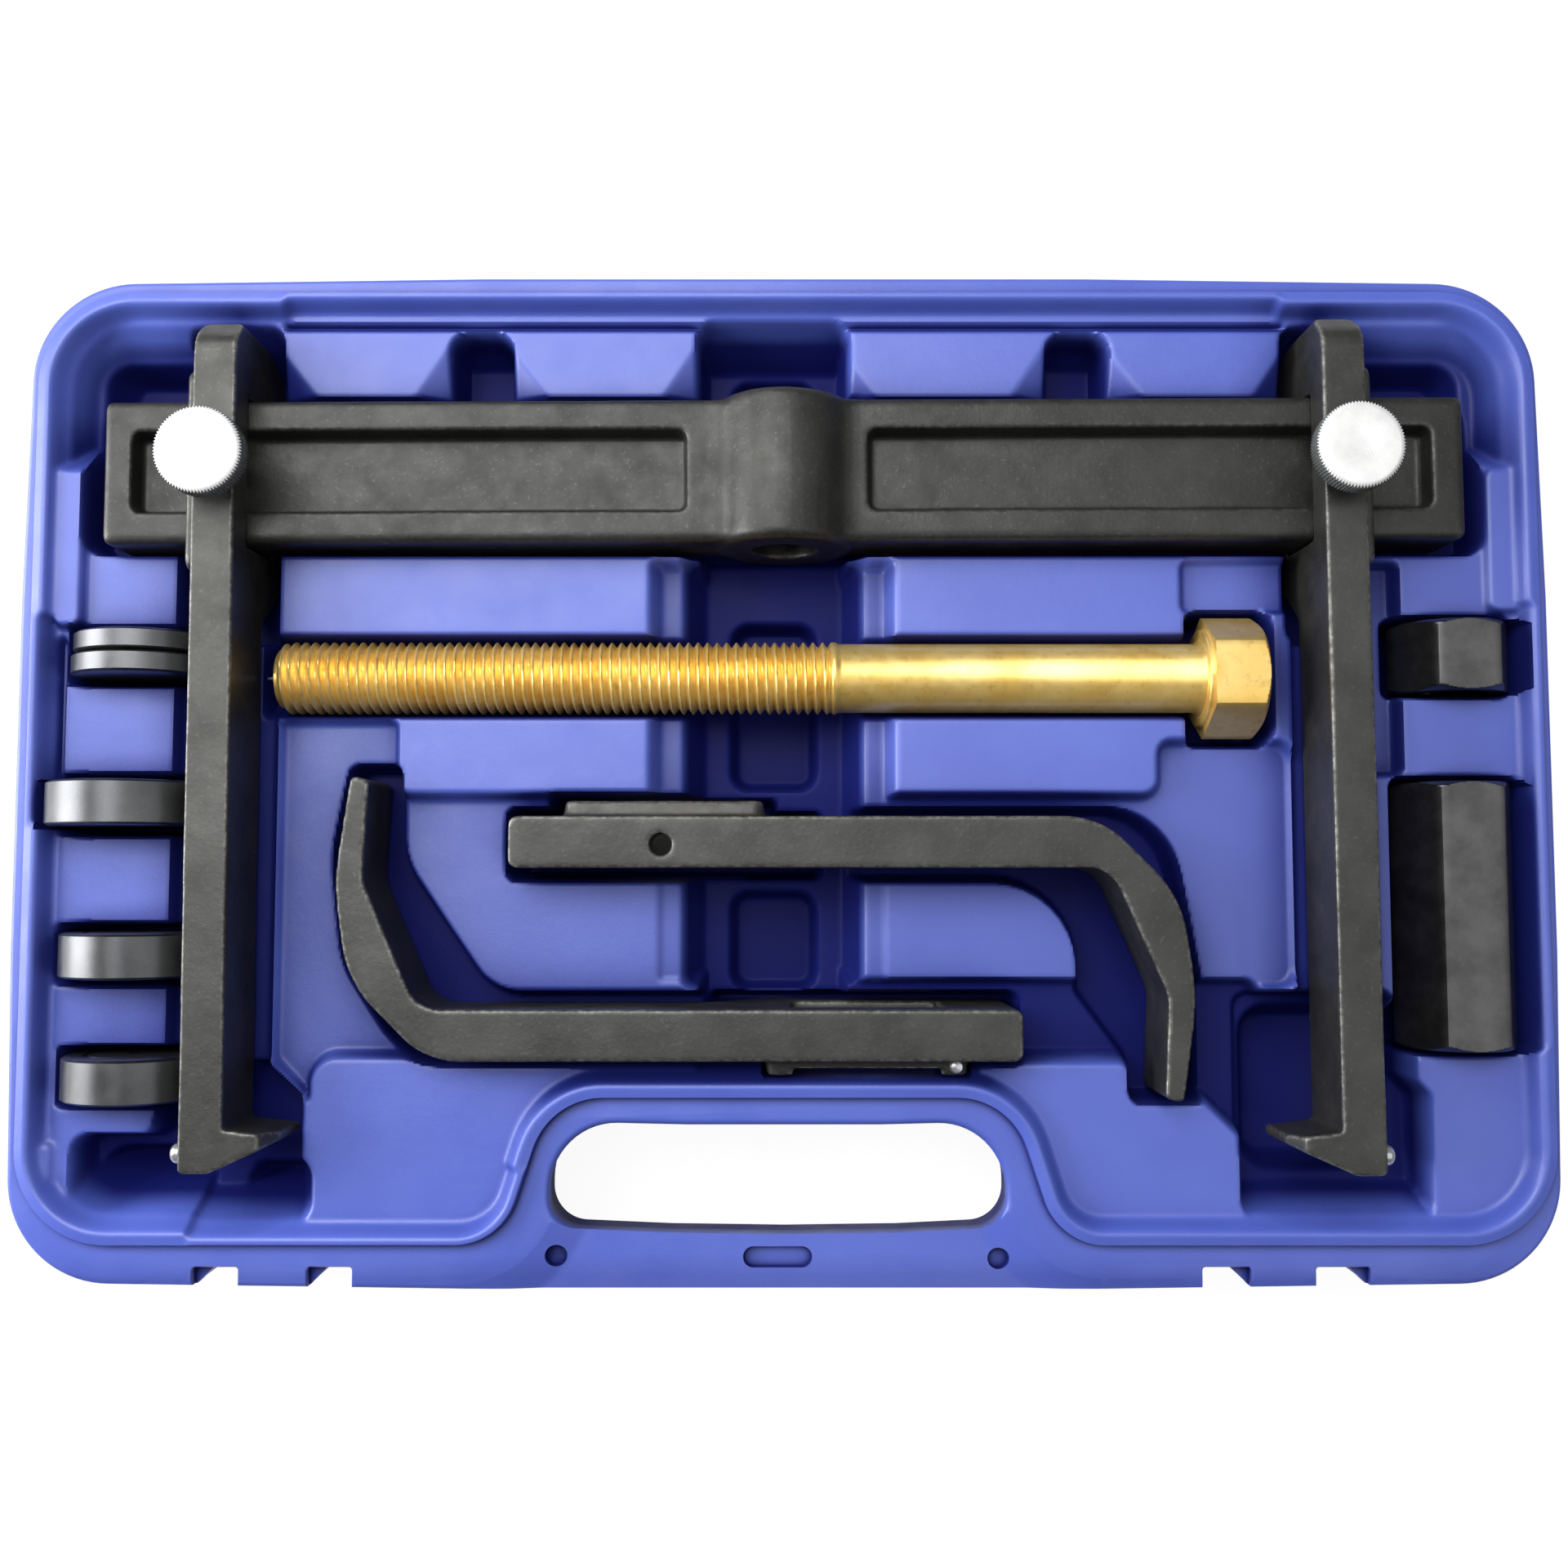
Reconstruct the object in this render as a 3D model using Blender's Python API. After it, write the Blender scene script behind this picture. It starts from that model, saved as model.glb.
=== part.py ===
"""Bridge puller kit in the lower half of its blow-moulded case.

A crossbar with two sliding arms, a forcing screw, two curved jaws, five pressure discs, a hex nut and
a coupling nut lie in moulded pockets. World frame: X along the case, Y from the handle at the front to
the hinge side at the back, Z up, origin under the middle of the case. Lengths are in millimetres and
become metres when a mesh is made.
"""

import math

import bmesh
import bpy
from mathutils import Matrix, Vector

MM = 0.001
GAP = 0.3  # between pieces that touch

# Case tray
TRAY_X, TRAY_Y = 402.0, 265.0
TRAY_CORNER, TRAY_BOW = 27.0, 1.6
RIM_Z, FLANGE_Z, LAND_Z, MID_Z, LOW_Z = 43.5, 40.5, 38.5, 34.0, 29.0
CREST = 3.0  # width of the raised rim
POCKET_DRAFT = 0.06  # wall slope, side over height
CLOSE_DRAFT = 0.02
HANDLE_UNDER_Z = 22.0
MIDDLE_FLOOR, FOOT_FLOOR = 20.0, 26.0
NUT_END_GAP, NUT_BED_X1 = 1.0, 195.2
LATCH_SEATS = ((-151.5, -139.9, -1), (-122.1, -110.7, -1), (107.2, 119.6, 1), (136.3, 150.2, 1))  # x0, x1, slanted side
LATCH_BACK_Y, LATCH_SLANT, LATCH_LIP = -126.9, 5.0, 3.0

# Crossbar (the bridge)
BAR_X, BAR_Y, BAR_Z = 355.6, 38.0, 20.0
BAR_CENTRE = Vector((0.0, 79.0, 36.6))
BAR_TURN = math.radians(0.25)  # how far the bar and its arms lie askew in their beds
BAR_ROUND = 2.0
BOSS_R, BOSS_FILLET, BOSS_BORE_R = 18.7, 8.0, 8.5
PANEL_DEPTH, PANEL_Y, PANEL_DRAFT, PANEL_ROUND = 6.0, 23.0, 0.16, 3.0
PANELS = ((-170.9, -24.6), (21.2, 169.7))  # where each recess starts and ends along the bar

# Straight arms
ARM_T, ARM_STEM, ARM_HEAD = 11.0, 22.5, 38.0  # thickness, depth of stem and of head
ARM_TOP_Z = 56.5
ARM_WALL = 9.6  # metal over the window
ARM_Y1 = 117.6
ARMS = (("left", -1, -145.1, -99.8), ("right", 1, 142.8, -101.6))  # name, side, centre x, y of the foot's end
LUG_OUT, LUG_HALF = 4.3, 26.4
FOOT_REACH = 12.4
STUD_ALONG, STUD_Z, STUD_R, STUD_OUT = 4.0, 49.0, 2.6, 4.4

# Thumbscrews
KNOB_R, KNOB_H, KNOB_LIFT, STEM_R, KNOB_EDGE = 11.0, 6.4, 4.4, 2.9, 0.4

# Forcing screw, 3/4 inch
SCREW_R, SCREW_AXIS = 9.525, Vector((0.0, 25.6, 34.5))
SCREW_TIP_X, THREAD_END_X, HEAD_X0, HEAD_X1 = -133.6, 13.1, 110.4, 125.4
POINT_OUT = 4.0  # how far the hardened point stands out of the screw
HEX_AF = 28.6

# Curved jaws
JAW_T, JAW_TOP_Z, JAW_STEM = 13.3, 48.0, 25.0
JAW_UPPER = Vector((-70.8, -11.5))  # head end, outer side
JAW_LOWER = Vector((60.9, -74.0))
JAW_WINDOW_U = 39.4
JAW_DEEP_U, JAW_SLOPE_U = 66.8, 80.8  # where the deep head ends, and its slope
WINDOW_L, WINDOW_H = 39.2, 20.8

# Discs: name, radius, thickness, centre x, centre y
DISCS = (
    ("disc_thin_back", 18.2, 5.5, -169.4, 34.0),
    ("disc_thin_front", 18.5, 5.6, -169.6, 28.1),
    ("disc_large", 21.2, 11.6, -172.4, -8.1),
    ("disc_medium", 19.0, 11.6, -170.1, -47.3),
    ("disc_small", 18.3, 11.5, -169.4, -78.9),
)
DISC_Z = 34.5

# Nuts: name, centre x, centre y, length
NUTS = (("hex_nut", 178.2, 30.9, 18.7), ("coupling_nut", 177.8, -37.1, 69.6))
NUT_Z = 31.0


# ---------------------------------------------------------------- materials and mesh helpers


def material(name, colour, roughness, metallic):
    mat = bpy.data.materials.new(name)
    mat.use_nodes = True
    shader = mat.node_tree.nodes["Principled BSDF"]
    shader.inputs["Base Color"].default_value = (*colour, 1.0)
    shader.inputs["Roughness"].default_value = roughness
    shader.inputs["Metallic"].default_value = metallic
    mat.diffuse_color = (*colour, 1.0)
    return mat


def arc_corner(before, corner, after, radius, steps):
    """Points of the arc that rounds one corner of an outline."""
    to_before = (before - corner).normalized()
    to_after = (after - corner).normalized()
    half = math.acos(max(-1.0, min(1.0, to_before.dot(to_after)))) / 2
    if radius <= 0 or half > math.radians(88):
        return [corner]
    centre = corner + (to_before + to_after).normalized() * (radius / math.sin(half))
    first = corner + to_before * (radius / math.tan(half)) - centre
    last = corner + to_after * (radius / math.tan(half)) - centre
    sweep = math.atan2(first.x * last.y - first.y * last.x, first.dot(last))
    return [centre + Matrix.Rotation(sweep * i / steps, 2) @ first for i in range(steps + 1)]


def outline(corners, steps=4):
    """A closed outline from (x, y, radius) corners, as 2-D vectors."""
    spots = [Vector(c[:2]) for c in corners]
    points = []
    for i, corner in enumerate(corners):
        points += arc_corner(spots[i - 1], spots[i], spots[(i + 1) % len(spots)], corner[2], steps)
    return points


def box_outline(x0, y0, x1, y1, radius, steps=4):
    return outline([(x0, y0, radius), (x1, y0, radius), (x1, y1, radius), (x0, y1, radius)], steps)


def grown(points, amount):
    """The outline moved out by an amount, corner by corner."""
    out = []
    for i, point in enumerate(points):
        a = (point - points[i - 1]).normalized()
        b = (points[(i + 1) % len(points)] - point).normalized()
        normal = Vector((a.y + b.y, -a.x - b.x)).normalized()
        out.append(point + normal * (amount / max(0.5, normal.dot(Vector((a.y, -a.x))))))
    return out


def lofted(name, rings, close=True):
    """A closed mesh object from rings of 3-D points, each as long as the next, counter-clockwise."""
    bm = bmesh.new()
    loops = [[bm.verts.new(Vector(p) * MM) for p in ring] for ring in rings]
    for low, high in zip(loops, loops[1:]):
        for i in range(len(low)):
            j = (i + 1) % len(low)
            bm.faces.new((low[i], low[j], high[j], high[i]))
    if close:
        bm.faces.new(loops[0][::-1])
        bm.faces.new(loops[-1])
    bmesh.ops.recalc_face_normals(bm, faces=bm.faces)
    return object_from(name, bm)


def object_from(name, bm):
    mesh = bpy.data.meshes.new(name)
    bm.to_mesh(mesh)
    bm.free()
    obj = bpy.data.objects.new(name, mesh)
    bpy.context.scene.collection.objects.link(obj)
    return obj


def prism(name, points, z0, z1, draft=0.0):
    """An outline raised from z0 to z1; draft widens it towards the top."""
    low = grown(points, -draft * (z1 - z0)) if draft else points
    return lofted(name, [[(p.x, p.y, z0) for p in low], [(p.x, p.y, z1) for p in points]])


def turned(name, profile, axis, steps=32, phase=0.0):
    """A solid of revolution from (along, radius) pairs; a radius of 0 closes on the axis."""
    bm = bmesh.new()
    to_world = {
        "X": lambda a, r, t: (a, r * math.cos(t), r * math.sin(t)),
        "Y": lambda a, r, t: (r * math.sin(t), a, r * math.cos(t)),
        "Z": lambda a, r, t: (r * math.cos(t), r * math.sin(t), a),
    }[axis]
    rings = []
    for along, radius in profile:
        count = 1 if radius == 0 else steps
        ring = [to_world(along, radius, 2 * math.pi * (i + phase) / steps) for i in range(count)]
        rings.append([bm.verts.new(Vector(p) * MM) for p in ring])
    for low, high in zip(rings, rings[1:]):
        for i in range(steps):
            j = (i + 1) % steps
            corners = [low[i % len(low)], low[j % len(low)], high[j % len(high)], high[i % len(high)]]
            corners = list(dict.fromkeys(corners))
            if len(corners) > 2:
                bm.faces.new(corners)
    for ring, turn in ((rings[0], -1), (rings[-1], 1)):
        if len(ring) > 1:
            bm.faces.new(ring[::turn])
    bmesh.ops.recalc_face_normals(bm, faces=bm.faces)
    return object_from(name, bm)


def moved(obj, x=0.0, y=0.0, z=0.0):
    obj.data.transform(Matrix.Translation(Vector((x, y, z)) * MM))
    return obj


def askew(obj):
    """Turns a piece of the crossbar's assembly with the bar, about the bar's middle."""
    middle = Matrix.Translation(BAR_CENTRE * MM)
    obj.data.transform(middle @ Matrix.Rotation(BAR_TURN, 4, "Z") @ middle.inverted())
    return obj


def askew_spot(x, y, z):
    return BAR_CENTRE + Matrix.Rotation(BAR_TURN, 3, "Z") @ (Vector((x, y, z)) - BAR_CENTRE)


def combine(obj, others, operation="DIFFERENCE"):
    """Cuts or adds the other objects one by one, then keeps only the result."""
    for other in others:
        step = obj.modifiers.new(other.name, "BOOLEAN")
        step.operation = operation
        step.object = other
        step.solver = "EXACT"
        graph = bpy.context.evaluated_depsgraph_get()
        result = bpy.data.meshes.new_from_object(obj.evaluated_get(graph))
        obj.modifiers.clear()
        old, obj.data = obj.data, result
        bpy.data.meshes.remove(old)
        bpy.data.objects.remove(other)
    return obj


def bevelled(obj, width, segments=1, angle=40):
    """Rounds the edges sharper than an angle."""
    bm = bmesh.new()
    bm.from_mesh(obj.data)
    bmesh.ops.remove_doubles(bm, verts=bm.verts, dist=1e-6)
    bmesh.ops.dissolve_limit(bm, angle_limit=math.radians(1), verts=bm.verts, edges=bm.edges)
    edges = [e for e in bm.edges if len(e.link_faces) == 2 and e.calc_face_angle(0) > math.radians(angle)]
    bmesh.ops.bevel(
        bm, geom=edges, offset=width * MM, segments=segments, affect="EDGES", profile=0.5, clamp_overlap=True
    )
    bm.to_mesh(obj.data)
    bm.free()
    return obj


def finish(obj, mat, origin=None, parent=None):
    """Shades the piece, gives it its material, and moves its origin without moving the piece."""
    obj.data.materials.clear()
    obj.data.materials.append(mat)
    obj.data.shade_smooth()
    obj.data.set_sharp_from_angle(angle=math.radians(32))
    if origin is not None:
        spot = Vector(origin) * MM
        obj.data.transform(Matrix.Translation(-spot))
        obj.location = spot
    if parent is not None:
        bpy.context.view_layer.update()
        obj.parent = parent
        obj.matrix_parent_inverse = parent.matrix_world.inverted()
    return obj


# ---------------------------------------------------------------- case tray


def tray_outline(inset=0.0):
    """The case's outer edge: long sides that bow out a little between round corners."""
    hx, hy, bow, corner = TRAY_X / 2 - inset, TRAY_Y / 2 - inset, TRAY_BOW, TRAY_CORNER - inset
    mid_x, mid_y = hx * 0.4, hy * 0.35
    quarter = [(hx, mid_y, 0), (hx - bow, hy - bow, corner), (mid_x, hy, 0)]
    half = quarter + [(-x, y, r) for x, y, r in quarter[::-1]]
    return outline(half + [(-x, -y, r) for x, y, r in half], 6)


def well_outline():
    """The inner edge of the rim, which steps round the handle."""
    return outline(
        [
            (-193.8, -117.6, 21),
            (-74.5, -117.6, 13),
            (-62.5, -80.4, 22),
            (60.5, -80.4, 22),
            (72.5, -117.6, 13),
            (194.6, -117.6, 21),
            (194.6, 124.6, 22),
            (-193.8, 124.6, 22),
        ],
        6,
    )


def screw_cradle(name, x0, x1, y, z, radius, top):
    """A trough with a round bottom along X."""
    half = [(math.sin(math.pi * (i / 6 - 0.5)) * radius, -math.cos(math.pi * (i / 6 - 0.5)) * radius) for i in range(7)]
    section = [(y + a, z + b) for a, b in half] + [(y + radius + 0.6, top), (y - radius - 0.6, top)]
    return lofted(name, [[(x, a, b) for a, b in section] for x in (x0, x1)])


def disc_cradle(name, x, y0, y1, z, radius, top):
    """A slot with a round bottom that holds a disc on its edge."""
    half = [(math.sin(math.pi * (i / 8 - 0.5)) * radius, -math.cos(math.pi * (i / 8 - 0.5)) * radius) for i in range(9)]
    section = [(x + a, z + b) for a, b in half] + [(x + radius, top), (x - radius, top)]
    return lofted(name, [[(a, y, b) for a, b in section] for y in (y0, y1)])


def pocket(name, points, floor, draft=POCKET_DRAFT, level=LAND_Z):
    """A cutter whose outline is given at one level; it widens upwards and narrows to its floor."""
    rise = 9.0
    return prism(name, grown(points, draft * rise), floor, level + rise, draft)


def case_tray(mat):
    base = tray_outline()
    foot = tray_outline(7.0)
    low = tray_outline(3.5)
    shell = lofted(
        "case_tray",
        [
            [(p.x, p.y, 0.0) for p in foot],
            [(p.x, p.y, 3.5) for p in low],
            [(p.x, p.y, FLANGE_Z) for p in base],
        ],
    )
    well = well_outline()
    crest = grown(well, CREST)
    combine(shell, [prism("crest", crest, FLANGE_Z - 3.0, RIM_Z, -0.05)], "UNION")
    wide, narrow = grown(well, 1.0), grown(well, -1.5)
    inside = lofted(
        "inside",
        [
            [(p.x, p.y, LAND_Z) for p in narrow],
            [(p.x, p.y, RIM_Z - 0.8) for p in well],
            [(p.x, p.y, RIM_Z + 1.0) for p in wide],
        ],
    )
    # High ledges beside the ends of the crossbar stay standing
    ledges = (("ledge_left", -196.0, 39.0, -185.2, 41.0), ("ledge_right", 186.0, 43.0, 197.0, 40.2))
    combine(inside, [prism(name, box_outline(x0, y0, x1, 82.0, 2.0, 2), 30.0, z) for name, x0, y0, x1, z in ledges])
    cuts = [inside]
    # Levels between the full-height lands
    cuts += [
        pocket("mid_left", outline([(-134.2, 15, 3), (-134.2, -75, 4), (-123.1, -86.6, 1), (-123.1, -74, 7),
                                    (-21, -74, 4), (-21, -5.2, 2), (-101.4, -5.2, 3), (-101.4, 15, 3)]), MID_Z),
        pocket("mid_right", outline([(14, -57, 4), (135.2, -57, 6), (135.2, 9.2, 6), (98.2, 9.2, 4),
                                     (98.2, -5.2, 4), (14, -5.2, 4)]), MID_Z),
        pocket("low_right", outline([(14, -75.2, 4), (89.6, -75.2, 2), (89.6, -85.2, 3), (109, -85.2, 3),
                                     (119, -95, 1), (126, -95, 2), (126, -53, 5), (14, -53, 4)]), LOW_Z),
        pocket("strip_right", box_outline(147, -0.6, 162.6, 56.2, 2), MID_Z),
        pocket("step_right", box_outline(105.2, 42.6, 134.6, 56.6, 2), MID_Z + 2.2),
        pocket("back_groove", box_outline(-134, 119.6, 134, 122.9, 1.2, 2), MID_Z - 2, CLOSE_DRAFT),
        pocket("left_groove", box_outline(-192.2, -92, -189.9, 36, 1.0, 2), MID_Z - 2, CLOSE_DRAFT),
    ]
    # The crossbar, the boss under it and the channel along the middle
    cuts += [
        pocket("bar_bed", box_outline(-184.6, 58.5, 184.6, 100.0, 4), BAR_CENTRE.z - BAR_Z / 2 - GAP, CLOSE_DRAFT),
        pocket("middle_ledge", box_outline(-35.7, -57, 29.6, 58, 4), MID_Z),
        pocket("middle", box_outline(-23.4, -78.2, 17.6, 121.4, 5), MIDDLE_FLOOR),
        pocket("boss_bed", box_outline(-24.0, 58.3, 23.0, 101.0, 5), BAR_CENTRE.z - BOSS_R - GAP, CLOSE_DRAFT),
        pocket("dimple_back", box_outline(-14.6, 100, 9.2, 110.4, 4), 13.0, POCKET_DRAFT, MIDDLE_FLOOR),
        pocket("dimple_screw", box_outline(-14.6, -3.5, 8.8, 42.5, 5), 13.0, POCKET_DRAFT, MIDDLE_FLOOR),
        pocket("dimple_front", box_outline(-14.6, -58, 8.8, -31, 5), 13.0, POCKET_DRAFT, MIDDLE_FLOOR),
    ]
    # Finger slots between the lands at the back, and the big corner pockets
    for x in (-80.8, 78.4):
        cuts.append(pocket("finger_slot", box_outline(x - 8.3, 96, x + 8.3, 118.2, 4), 22.0))
    cuts += [
        pocket("corner_left", outline([(-190.4, 82, 5), (-143, 82, 3), (-143, 121.6, 4), (-190.4, 121.6, 17)]), 30.6),
        pocket("corner_right", outline([(142, 82, 3), (190.8, 82, 5), (190.8, 121.6, 17), (142, 121.6, 4)]), 30.6),
        pocket("corner_deep_left", box_outline(-184.2, 92, -150, 112.4, 7), 21.0),
        pocket("corner_deep_right", box_outline(149, 92, 183.0, 112.4, 7), 21.0),
    ]
    # Arms: stem channel, head bed, foot pocket with deeper hollows
    for side, stem_x0, head_x0, x1 in (("left", -159.8, -159.8, -134.0), ("right", 135.0, 133.8, 154.8)):
        cuts.append(pocket("stem_" + side, box_outline(stem_x0, -98, x1, 117, 3), ARM_TOP_Z - ARM_STEM - GAP))
        cuts.append(pocket("head_" + side, box_outline(head_x0, 35, x1, 119.6, 4), ARM_TOP_Z - ARM_HEAD - GAP))
    cuts += [
        pocket("foot_left", outline([(-184.5, -117.0, 9), (-125.2, -117.0, 5), (-125.2, -84.2, 3), (-135.2, -74.8, 3),
                                     (-159.8, -74.8, 3), (-163.6, -93.6, 3), (-184.5, -93.6, 5)]), FOOT_FLOOR),
        pocket("foot_deep_left", box_outline(-181, -113.5, -151, -98.0, 6), 15.0),
        pocket("foot_inner_left", outline([(-145, -113.5, 4), (-126.6, -113.5, 4), (-126.6, -102.8, 3),
                                           (-139.5, -102.8, 3)]), 18.0),
        pocket("foot_right", outline([(118.4, -117.0, 6), (167.6, -117.0, 6), (167.6, -83.6, 3), (159, -75, 3),
                                      (159, -56.6, 5), (118.4, -56.6, 5)]), FOOT_FLOOR),
        pocket("foot_deep_right", box_outline(121.6, -104.8, 160.5, -61, 7), 15.0),
    ]
    # Forcing screw, discs and nuts
    z = SCREW_AXIS.z
    cuts += [
        screw_cradle("shank_bed", -138.2, HEAD_X0 - 2.5, SCREW_AXIS.y, z, SCREW_R + 0.9, LAND_Z + 9),
        pocket("screw_head_bed", box_outline(HEAD_X0 - 4.2, 7.6, HEAD_X1 + 3.0, 43.0, 3), z - HEX_AF / 2 - GAP),
    ]
    for name, r, t, x, y in DISCS:
        cuts.append(disc_cradle("bed_" + name, x, y - t / 2 - 1.5, y + t / 2 + 1.5, DISC_Z, r + 0.6, LAND_Z + 6))
    for name, x, y, length in NUTS:
        bed = box_outline(x - 18.6, y - length / 2 - NUT_END_GAP, NUT_BED_X1, y + length / 2 + NUT_END_GAP, 2.5)
        cuts.append(pocket("bed_" + name, bed, NUT_Z - HEX_AF / 2 - GAP, CLOSE_DRAFT))
    # Jaws: a curved bed for each stem, a deep one for its windowed head and one for its lug
    lower = outline([(-114.9, 2.4, 3), (-119.4, -22, 40), (-116.2, -50, 25), (-99.5, -75.6, 20), (62.6, -75.6, 3),
                     (62.6, -57.4, 3), (-77, -57.4, 14), (-100.7, -22.6, 20), (-100.7, 2.4, 3)])
    upper = outline([(-73.4, -28.2, 3), (77.4, -28.2, 22), (77.4, -57.6, 1), (90, -74.5, 2), (90, -85.6, 3),
                     (109.2, -85.6, 3), (109.2, -53, 4), (104.6, -26, 20), (99.2, -8.8, 20), (-73.4, -8.8, 3)])
    stem_floor, head_floor = JAW_TOP_Z - JAW_STEM - GAP, JAW_TOP_Z - ARM_HEAD - GAP
    cuts += [
        pocket("bed_jaw_lower", lower, stem_floor, CLOSE_DRAFT),
        pocket("bed_jaw_upper", upper, stem_floor, CLOSE_DRAFT),
        pocket("bed_head_lower", box_outline(-21, -75.6, 62.6, -57.4, 3), head_floor, CLOSE_DRAFT),
        pocket("bed_head_upper", box_outline(-73.4, -28.2, 11, -8.8, 3), head_floor, CLOSE_DRAFT),
        pocket("bed_lug_lower", box_outline(-21, -79.8, 50.4, -60, 2), head_floor, CLOSE_DRAFT),
        pocket("bed_lug_upper", box_outline(-62, -26, -1.5, -5.4, 2), head_floor, CLOSE_DRAFT),
    ]
    # Handle: the opening, its thin underside, and the dimples in its bar
    cuts += [
        prism("handle_hole", outline([(-60.3, -117.2, 7.5), (57.1, -117.2, 7.5), (57.1, -90.3, 16), (-60.3, -90.3, 16)], 6),
              -8.0, RIM_Z + 8.0, 0.0),
        prism("handle_under", outline([(-72, -140, 2), (70, -140, 2), (62, -84.5, 12), (-64, -84.5, 12)]),
              -8.0, HANDLE_UNDER_Z, -0.08),
        prism("dimple_a", outline([(-61.9, -127.7, 3.3), (-55.1, -127.7, 3.3), (-55.1, -120.9, 3.3), (-61.9, -120.9, 3.3)]),
              FLANGE_Z - 3, RIM_Z, 0.05),
        prism("dimple_b", outline([(51.7, -128.5, 3.3), (58.5, -128.5, 3.3), (58.5, -121.7, 3.3), (51.7, -121.7, 3.3)]),
              FLANGE_Z - 3, RIM_Z, 0.05),
        prism("dimple_c", box_outline(-11.2, -127.8, 7.9, -121.5, 3.0), FLANGE_Z - 3, RIM_Z, 0.05),
    ]
    # Latch seats in the front edge: a square notch in the flange over one with a slanted corner
    for x0, x1, side in LATCH_SEATS:
        slant0, slant1 = (LATCH_SLANT, 0.0) if side < 0 else (0.0, LATCH_SLANT)
        low = [(x0, -140), (x1, -140), (x1, LATCH_BACK_Y - slant1), (x1 - slant1, LATCH_BACK_Y),
               (x0 + slant0, LATCH_BACK_Y), (x0, LATCH_BACK_Y - slant0)]
        low = [Vector(p) for p in dict.fromkeys(low)]
        high = [Vector(p) for p in ((x0, -140), (x1, -140), (x1, LATCH_BACK_Y), (x0, LATCH_BACK_Y))]
        cuts.append(prism("latch_low", low, -8.0, FLANGE_Z))
        cuts.append(prism("latch_high", grown(high, 0.05), FLANGE_Z - LATCH_LIP, RIM_Z + 8.0))
    combine(shell, cuts)
    return finish(shell, mat)


# ---------------------------------------------------------------- crossbar


def crossbar(mat):
    """The bridge: a bar whose section swells into a round boss, panelled on both faces."""
    half, centre = BAR_Z / 2, BAR_CENTRE
    fillet_z = half + BOSS_FILLET
    fillet_x = math.sqrt((BOSS_R + BOSS_FILLET) ** 2 - fillet_z**2)
    lean = math.atan2(fillet_z, fillet_x)
    top = []
    for i in range(4):  # from the bar's face up onto the boss
        angle = -math.pi / 2 - (math.pi / 2 - lean) * i / 3
        top.append((fillet_x + BOSS_FILLET * math.cos(angle), fillet_z + BOSS_FILLET * math.sin(angle)))
    for i in range(1, 10):
        angle = lean + (math.pi - 2 * lean) * i / 9
        top.append((BOSS_R * math.cos(angle), BOSS_R * math.sin(angle)))
    top += [(-x, z) for x, z in top[2::-1]]
    upper = [(BAR_X / 2, half)] + top + [(-BAR_X / 2, half)]
    section = upper + [(x, -z) for x, z in upper[::-1]]
    y = BAR_Y / 2
    bar = lofted("crossbar", [[(a, -y, b) for a, b in section], [(a, y, b) for a, b in section]])
    bevelled(bar, BAR_ROUND, 2, 60)
    cuts = []
    for x0, x1 in PANELS:
        for face in (1, -1):
            points = box_outline(x0, -PANEL_Y / 2, x1, PANEL_Y / 2, PANEL_ROUND, 3)
            panel = prism("panel", points, half - PANEL_DEPTH, half + 4, PANEL_DRAFT)
            if face < 0:
                panel.data.transform(Matrix.Rotation(math.pi, 4, "X"))
            cuts.append(panel)
    mouth = 1.3
    bore = [(-y - 1, BOSS_BORE_R + mouth + 1), (-y + mouth, BOSS_BORE_R), (y - mouth, BOSS_BORE_R), (y + 1, BOSS_BORE_R + mouth + 1)]
    cuts.append(turned("bore", bore, "Y", 28))
    combine(bar, cuts)
    moved(bar, *centre)
    return finish(askew(bar), mat, centre)


# ---------------------------------------------------------------- arms


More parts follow.
